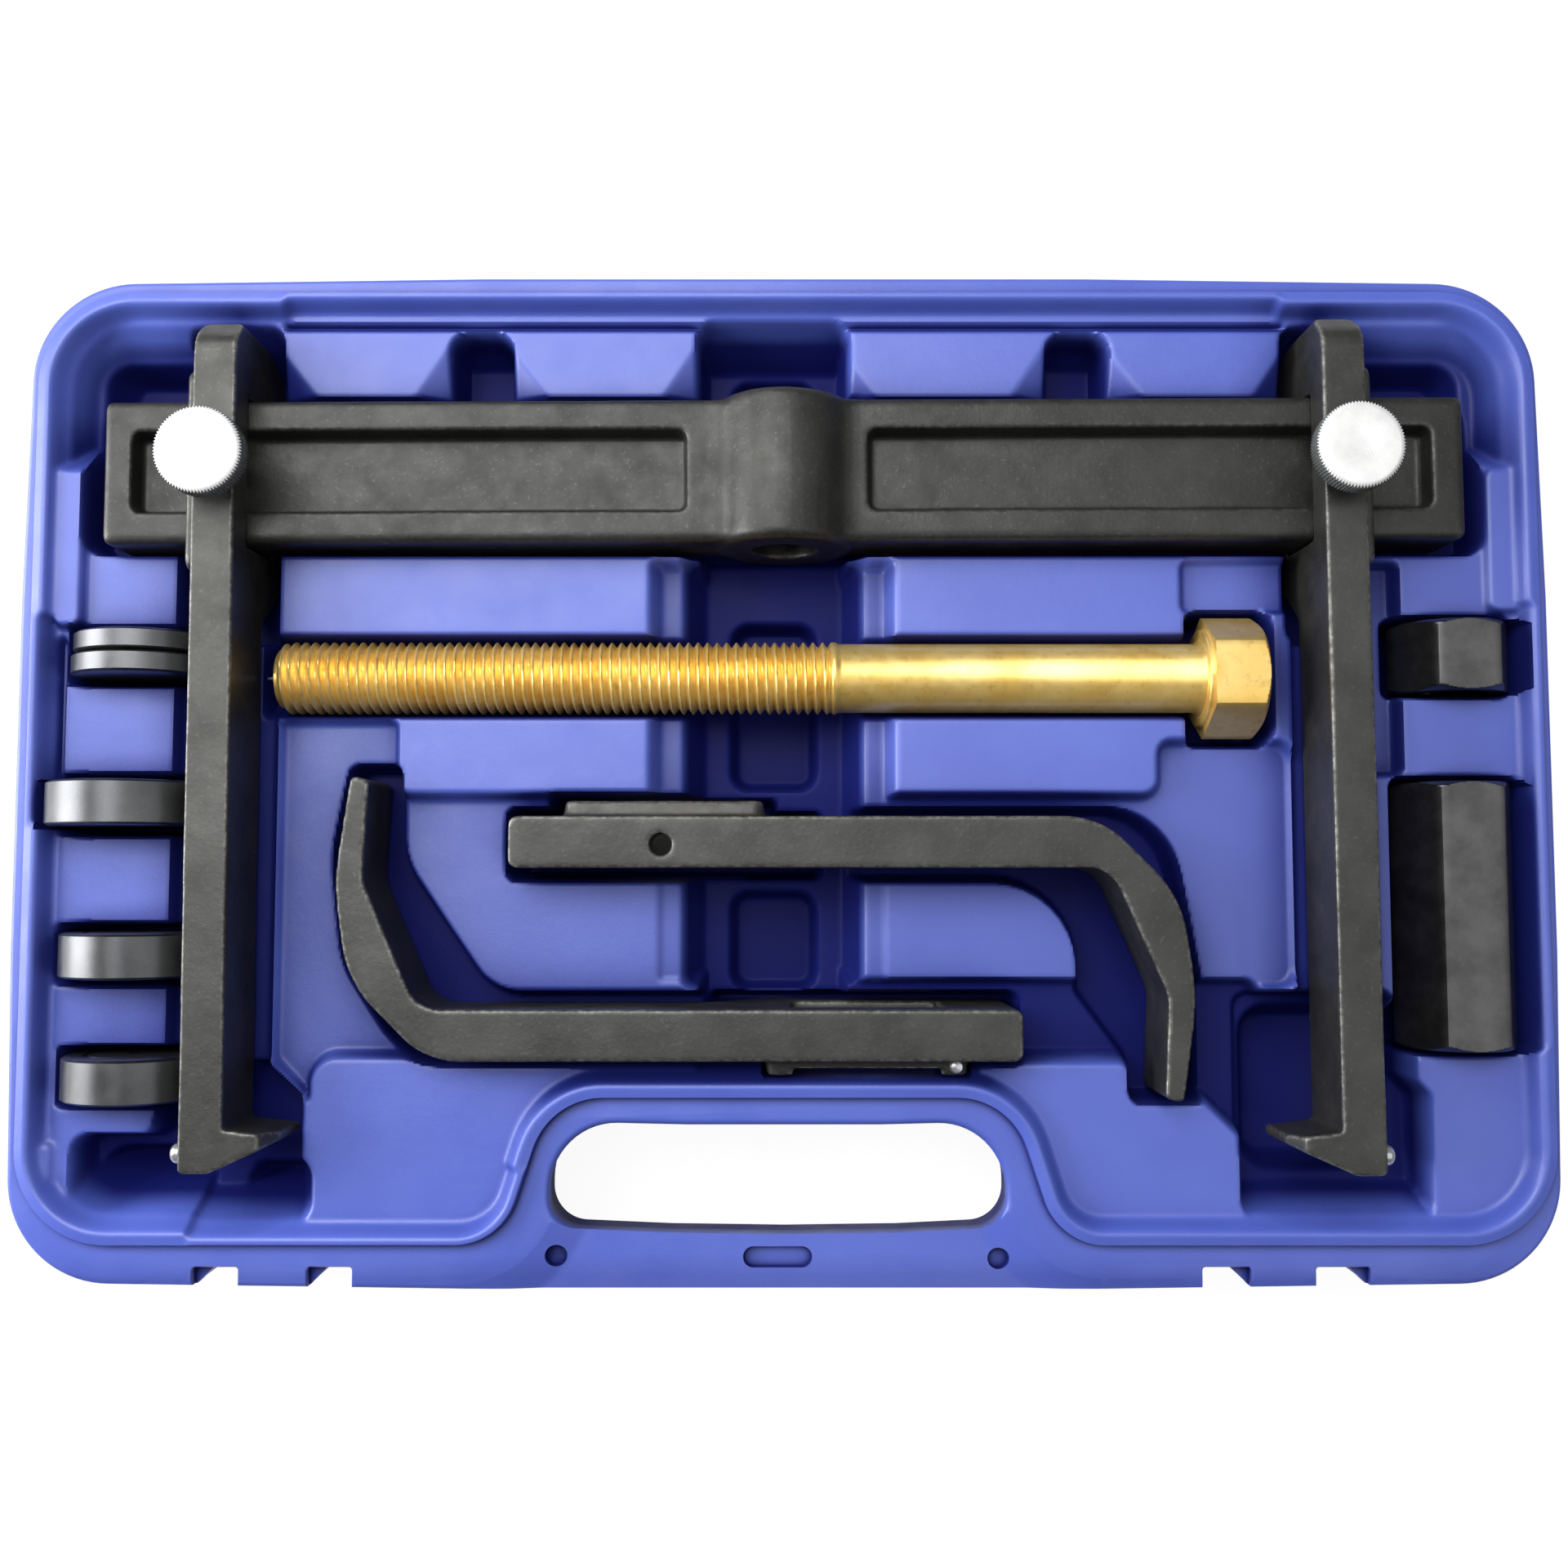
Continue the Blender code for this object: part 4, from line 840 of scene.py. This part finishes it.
def nuts(material):
    """Hex nuts with both ends chamfered and a threaded bore."""
    crest, core = 9.55, 8.3
    for node, body in (("hex_nut", "nut"), ("coupling_nut", "long_nut")):
        low, high = box_mm(node)
        half = (high.y - low.y) / 2
        mouth = [(half, 10.6), (half - 1.4, 9.2), (half - 1.9, core + 0.3)]
        bore = [(y, core) for y in steps_between(half - 2.4, -half + 2.4, 0.42)]
        profile = hex_profile(-half, half) + mouth + bore + [(-y, r) for y, r in mouth[::-1]]
        shape = nut_shape(half, crest - core)
        piece = spun(node + "_threaded", profile, "Y", middle_mm(node), 96, shape, True)
        dressed(piece, material, body, node, 25)


# ---------------------------------------------------------------- materials


def srgb(*channels):
    """A linear colour from screen values of 0 to 255, none of them very dark."""
    return tuple(((c / 255 + 0.055) / 1.055) ** 2.4 for c in channels)


class Nodes:
    """A small helper round one material's node tree."""

    def __init__(self, name, metallic):
        self.material = bpy.data.materials.new(name)
        self.material.use_nodes = True
        self.nodes = self.material.node_tree.nodes
        self.links = self.material.node_tree.links
        self.shader = self.nodes["Principled BSDF"]
        self.shader.inputs["Metallic"].default_value = metallic
        self.place = self.nodes.new("ShaderNodeTexCoord").outputs["Object"]

    def put(self, socket, value):
        if isinstance(value, bpy.types.NodeSocket):
            self.links.new(value, socket)
        elif isinstance(value, tuple) and len(value) == 3 and socket.type == "RGBA":
            socket.default_value = (*value, 1.0)
        else:
            socket.default_value = value

    def noise(self, scale, detail=3.0, rough=0.55):
        node = self.nodes.new("ShaderNodeTexNoise")
        self.links.new(self.place, node.inputs["Vector"])
        node.inputs["Scale"].default_value = scale
        node.inputs["Detail"].default_value = detail
        node.inputs["Roughness"].default_value = rough
        return node.outputs["Fac"]

    def range(self, value, low, high, to_low=0.0, to_high=1.0):
        node = self.nodes.new("ShaderNodeMapRange")
        node.inputs["From Min"].default_value = low
        node.inputs["From Max"].default_value = high
        node.inputs["To Min"].default_value = to_low
        node.inputs["To Max"].default_value = to_high
        self.links.new(value, node.inputs["Value"])
        return node.outputs["Result"]

    def math(self, operation, a, b=0.0):
        node = self.nodes.new("ShaderNodeMath")
        node.operation = operation
        self.put(node.inputs[0], a)
        self.put(node.inputs[1], b)
        return node.outputs["Value"]

    def mix(self, factor, a, b):
        node = self.nodes.new("ShaderNodeMix")
        node.data_type = "RGBA"
        self.put(node.inputs["Factor"], factor)
        self.put(node.inputs["A"], a)
        self.put(node.inputs["B"], b)
        return node.outputs["Result"]

    def axis(self, letter):
        node = self.nodes.new("ShaderNodeSeparateXYZ")
        self.links.new(self.place, node.inputs["Vector"])
        return node.outputs[letter]

    def up_facing(self):
        """How much a face looks up."""
        node = self.nodes.new("ShaderNodeSeparateXYZ")
        normal = self.nodes.new("ShaderNodeNewGeometry").outputs["Normal"]
        self.links.new(normal, node.inputs["Vector"])
        return node.outputs["Z"]

    def edge_wear(self, low, high):
        """Nearly 1 on sharp outer edges."""
        pointiness = self.nodes.new("ShaderNodeNewGeometry").outputs["Pointiness"]
        return self.range(pointiness, low, high)

    def openness(self, reach):
        """How much of the space round a place is free, up to a distance."""
        node = self.nodes.new("ShaderNodeAmbientOcclusion")
        node.samples = 8
        node.inputs["Distance"].default_value = reach * MM
        return node.outputs["AO"]

    def rings(self, direction, scale):
        """Fine turning marks round an axis."""
        node = self.nodes.new("ShaderNodeTexWave")
        node.wave_type, node.rings_direction = "RINGS", direction
        self.links.new(self.place, node.inputs["Vector"])
        node.inputs["Scale"].default_value = scale
        node.inputs["Distortion"].default_value = 0.3
        return node.outputs["Fac"]

    def bump(self, height, distance, strength=1.0):
        node = self.nodes.new("ShaderNodeBump")
        node.inputs["Distance"].default_value = distance * MM
        node.inputs["Strength"].default_value = strength
        self.put(node.inputs["Height"], height)
        self.links.new(node.outputs["Normal"], self.shader.inputs["Normal"])

    def finish(self, colour, roughness):
        self.put(self.shader.inputs["Base Color"], colour)
        self.put(self.shader.inputs["Roughness"], roughness)
        return self.material


def plastic_material():
    """Blue moulded plastic with a faint grain, and painted shade: darker, with less sheen, low in the
    pockets, near walls and towards the front edge.
    """
    m = Nodes("blue_plastic", 0.0)
    z, y = m.axis("Z"), m.axis("Y")
    # Painted shade: the colour turns dark navy and the sheen fades low in the pockets (by height) and in
    # occluded places (ambient occlusion).
    depth_shade = m.range(z, 29.2 * MM, 35.2 * MM, 0.03, 1.0)
    high = m.math("MAXIMUM", depth_shade, m.math("LESS_THAN", z, 8.5 * MM))
    # The outside of the case isn't darkened: it lies beyond these distances from the middle
    across, along = m.math("ABSOLUTE", m.axis("X")), m.math("ABSOLUTE", y)
    corner = m.math("ADD", across, along)
    for reach, wall in ((across, 195.5), (along, 126.6), (corner, 306.0)):
        high = m.math("MAXIMUM", high, m.math("GREATER_THAN", reach, wall * MM))
    open_sky = m.range(m.openness(20.0), 0.48, 0.9, 0.04, 1.0)
    # Painted shade: the front edge is darkened where the light falls off.
    front = m.range(y, -129.5 * MM, -123.5 * MM, 0.72, 1.0)
    lit = m.math("MULTIPLY", m.math("MULTIPLY", high, open_sky), front)
    patches = m.range(m.noise(28), 0.35, 0.65)
    colour = m.mix(patches, srgb(77, 95, 190), srgb(83, 102, 197))
    colour = m.mix(lit, srgb(20, 25, 92), colour)
    m.put(m.shader.inputs["Specular IOR Level"], m.range(lit, 0.0, 0.8, 0.06, 0.8))
    coarse = m.math("MULTIPLY", m.noise(420, 2.0), 1.5)
    m.bump(m.math("ADD", m.noise(2600, 2.0), coarse), 0.05, 0.5)
    return m.finish(colour, m.range(m.noise(90), 0.3, 0.7, 0.36, 0.46))


def forged_material(name, dark, light, wear):
    """Black oxide on a forging: grey bloom, fine scale pits and bright steel where edges have worn."""
    m = Nodes(name, 0.7)
    bloom = m.range(m.noise(60, 5.0), 0.35, 0.7)
    fine = m.noise(900, 4.0, 0.7)
    colour = m.mix(bloom, dark, light)
    colour = m.mix(m.range(fine, 0.58, 0.72, 0.0, 0.4), colour, srgb(108, 108, 105))
    broken = m.range(m.noise(520, 5.0, 0.7), 0.42, 0.62, 0.1 * wear, wear)
    worn = m.math("MULTIPLY", m.edge_wear(0.509, 0.545), broken)
    colour = m.mix(worn, colour, srgb(158, 157, 152))
    m.bump(m.math("ADD", fine, m.math("MULTIPLY", m.noise(230, 4.0), 1.6)), 0.08, 0.7)
    rough = m.range(m.noise(160, 4.0), 0.3, 0.7, 0.36, 0.52)
    return m.finish(colour, rough)


def turned_material(dark, light):
    """Blackened turned steel."""
    m = Nodes("black_turned", 0.95)
    colour = m.mix(m.range(m.noise(110, 4.0), 0.35, 0.65), dark, light)
    scratches = m.range(m.noise(1500, 2.0), 0.62, 0.78, 0.0, 0.12)
    colour = m.mix(scratches, colour, srgb(170, 170, 170))
    m.bump(m.rings("Y", 700.0), 0.02, 0.4)
    return m.finish(colour, m.range(m.noise(220), 0.3, 0.7, 0.3, 0.36))


def zinc_yellow_material():
    """Yellow chromate over zinc, uneven in tint, with greasy darker streaks."""
    m = Nodes("yellow_zinc", 0.72)
    tint = m.range(m.noise(75, 4.0), 0.35, 0.65)
    colour = m.mix(tint, srgb(242, 200, 106), srgb(252, 220, 138))
    streaks = m.range(m.noise(420, 5.0, 0.7), 0.54, 0.76, 0.0, 0.45)
    colour = m.mix(streaks, colour, srgb(170, 118, 44))
    m.bump(m.noise(900, 3.0), 0.01, 0.3)
    return m.finish(colour, m.range(m.noise(300), 0.3, 0.7, 0.3, 0.4))


def bright_material(name, dark, light, rings, metallic):
    """Bright zinc plating with turning marks; with rings, the sides are painted darker than the top as
    painted shade.
    """
    m = Nodes(name, metallic)
    colour = m.mix(m.range(m.noise(240, 4.0), 0.35, 0.65), dark, light)
    if rings:
        # Painted shade: faces that look sideways get a darker grey than the top, which catches the light.
        side = m.range(m.up_facing(), 0.35, 0.75, 1.0, 0.0)
        colour = m.mix(side, colour, srgb(112, 118, 118))
    m.bump(m.rings("Z", rings) if rings else m.noise(900, 3.0), 0.02, 0.3)
    return m.finish(colour, m.range(m.noise(180), 0.3, 0.7, 0.22, 0.34))


# ---------------------------------------------------------------- stage


def floor_material():
    """Pale floor that reads as white paper to the camera and still keeps the shadow."""
    mat = bpy.data.materials.new("floor")
    mat.use_nodes = True
    nodes, links = mat.node_tree.nodes, mat.node_tree.links
    shader, output = nodes["Principled BSDF"], nodes["Material Output"]
    shader.inputs["Base Color"].default_value = (0.85, 0.85, 0.85, 1)
    shader.inputs["Roughness"].default_value = 0.95
    glow = nodes.new("ShaderNodeEmission")
    glow.inputs["Color"].default_value = (1, 1, 1, 1)
    glow.inputs["Strength"].default_value = 1.15
    seen = nodes.new("ShaderNodeLightPath").outputs["Is Camera Ray"]
    share = nodes.new("ShaderNodeMath")
    share.operation = "MULTIPLY"
    share.inputs[1].default_value = 0.8
    links.new(seen, share.inputs[0])
    mix = nodes.new("ShaderNodeMixShader")
    links.new(share.outputs["Value"], mix.inputs["Fac"])
    links.new(shader.outputs["BSDF"], mix.inputs[1])
    links.new(glow.outputs["Emission"], mix.inputs[2])
    links.new(mix.outputs["Shader"], output.inputs["Surface"])
    return mat


def lamp(name, place, aim, size, power):
    """A square lamp at a place, turned to what it lights; size in metres, power in watts."""
    light = bpy.data.lights.new(name, "AREA")
    light.size, light.energy = size, power
    obj = bpy.data.objects.new(name, light)
    bpy.context.scene.collection.objects.link(obj)
    obj.location = Vector(place) * MM
    obj.rotation_euler = (Vector(aim) - Vector(place)).to_track_quat("-Z", "Y").to_euler()


def studio_world():
    """Soft light from all round, which the camera itself sees as white."""
    world = bpy.data.worlds.new("studio")
    world.use_nodes = True
    nodes, links = world.node_tree.nodes, world.node_tree.links
    light, paper = nodes["Background"], nodes.new("ShaderNodeBackground")
    for background, strength in ((light, 0.12), (paper, 1.0)):
        background.inputs["Color"].default_value = (1, 1, 1, 1)
        background.inputs["Strength"].default_value = strength
    mix = nodes.new("ShaderNodeMixShader")
    links.new(nodes.new("ShaderNodeLightPath").outputs["Is Camera Ray"], mix.inputs["Fac"])
    links.new(light.outputs["Background"], mix.inputs[1])
    links.new(paper.outputs["Background"], mix.inputs[2])
    links.new(mix.outputs["Shader"], nodes["World Output"].inputs["Surface"])
    bpy.context.scene.world = world


def photo_camera():
    """The photo's view: from above, a little in front of the middle."""
    camera = bpy.data.cameras.new("camera")
    camera.lens, camera.sensor_width = 34.18, 36.0
    camera.clip_start = 0.01
    obj = bpy.data.objects.new("camera", camera)
    bpy.context.scene.collection.objects.link(obj)
    obj.location = Vector((0, -27.65, 428.5)) * MM
    obj.rotation_euler = (math.radians(3.65), 0, 0)
    bpy.context.scene.camera = obj


def stage():
    bpy.context.scene.view_settings.view_transform = "Standard"
    studio_world()
    half, floor_z = 3000, -0.1
    corners = [(x * half, y * half, floor_z) for x, y in ((-1, -1), (1, -1), (1, 1), (-1, 1))]
    floor = mesh_object("floor", corners, [(0, 1, 2, 3)])
    floor.data.materials.append(floor_material())
    lamp("key", (-300, 400, 860), (-20, 40, 0), 0.85, 10.0)
    lamp("side", (-820, 80, 300), (-100, 0, 30), 0.5, 8.0)
    lamp("fill", (480, -50, 900), (0, 0, 0), 0.9, 2.2)
    photo_camera()


def forgings(oxide, bar_oxide, bright):
    """The crossbar, the arms and the jaws."""
    forged(round_boss(), "crossbar", "bar", bar_oxide)
    for node, body in (("arm_left", "left_arm"), ("arm_right", "right_arm")):
        forged(cad_copy(node), node, body, oxide, 0.5, 10)
    upper = jaw_blank("jaw_upper", (-70.8, -11.5), 1, 9.6, True)
    lower = jaw_blank("jaw_lower", (60.9, -74.0), -1, 7.6, False)
    forged(upper, "jaw_upper", "upper_jaw", oxide, 0.55, 12)
    forged(lower, "jaw_lower", "lower_jaw", oxide, 0.55, 12)
    painted_glint_nub(bright)


def main():
    stage()
    oxide = forged_material("black_oxide", srgb(66, 66, 64), srgb(80, 80, 78), 0.85)
    bar_oxide = forged_material("bar_oxide", srgb(56, 56, 55), srgb(68, 68, 66), 0.3)
    gold = zinc_yellow_material()
    turned = turned_material(srgb(88, 89, 91), srgb(98, 99, 101))
    black = turned_material(srgb(84, 84, 85), srgb(104, 104, 105))
    bright = bright_material("bright_zinc", srgb(196, 198, 200), srgb(226, 228, 230), 0, 0.8)
    knob_top = bright_material("knob_zinc", srgb(234, 234, 234), srgb(244, 244, 243), 420.0, 0.25)
    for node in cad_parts.values():
        node.data.materials.clear()
        node.data.materials.append(oxide)
    tray(plastic_material())
    forgings(oxide, bar_oxide, bright)
    forcing_screw(gold)
    screw_point(bright)
    thumbscrews(knob_top, bright)
    foot_studs(bright)
    discs(turned)
    nuts(black)


main()
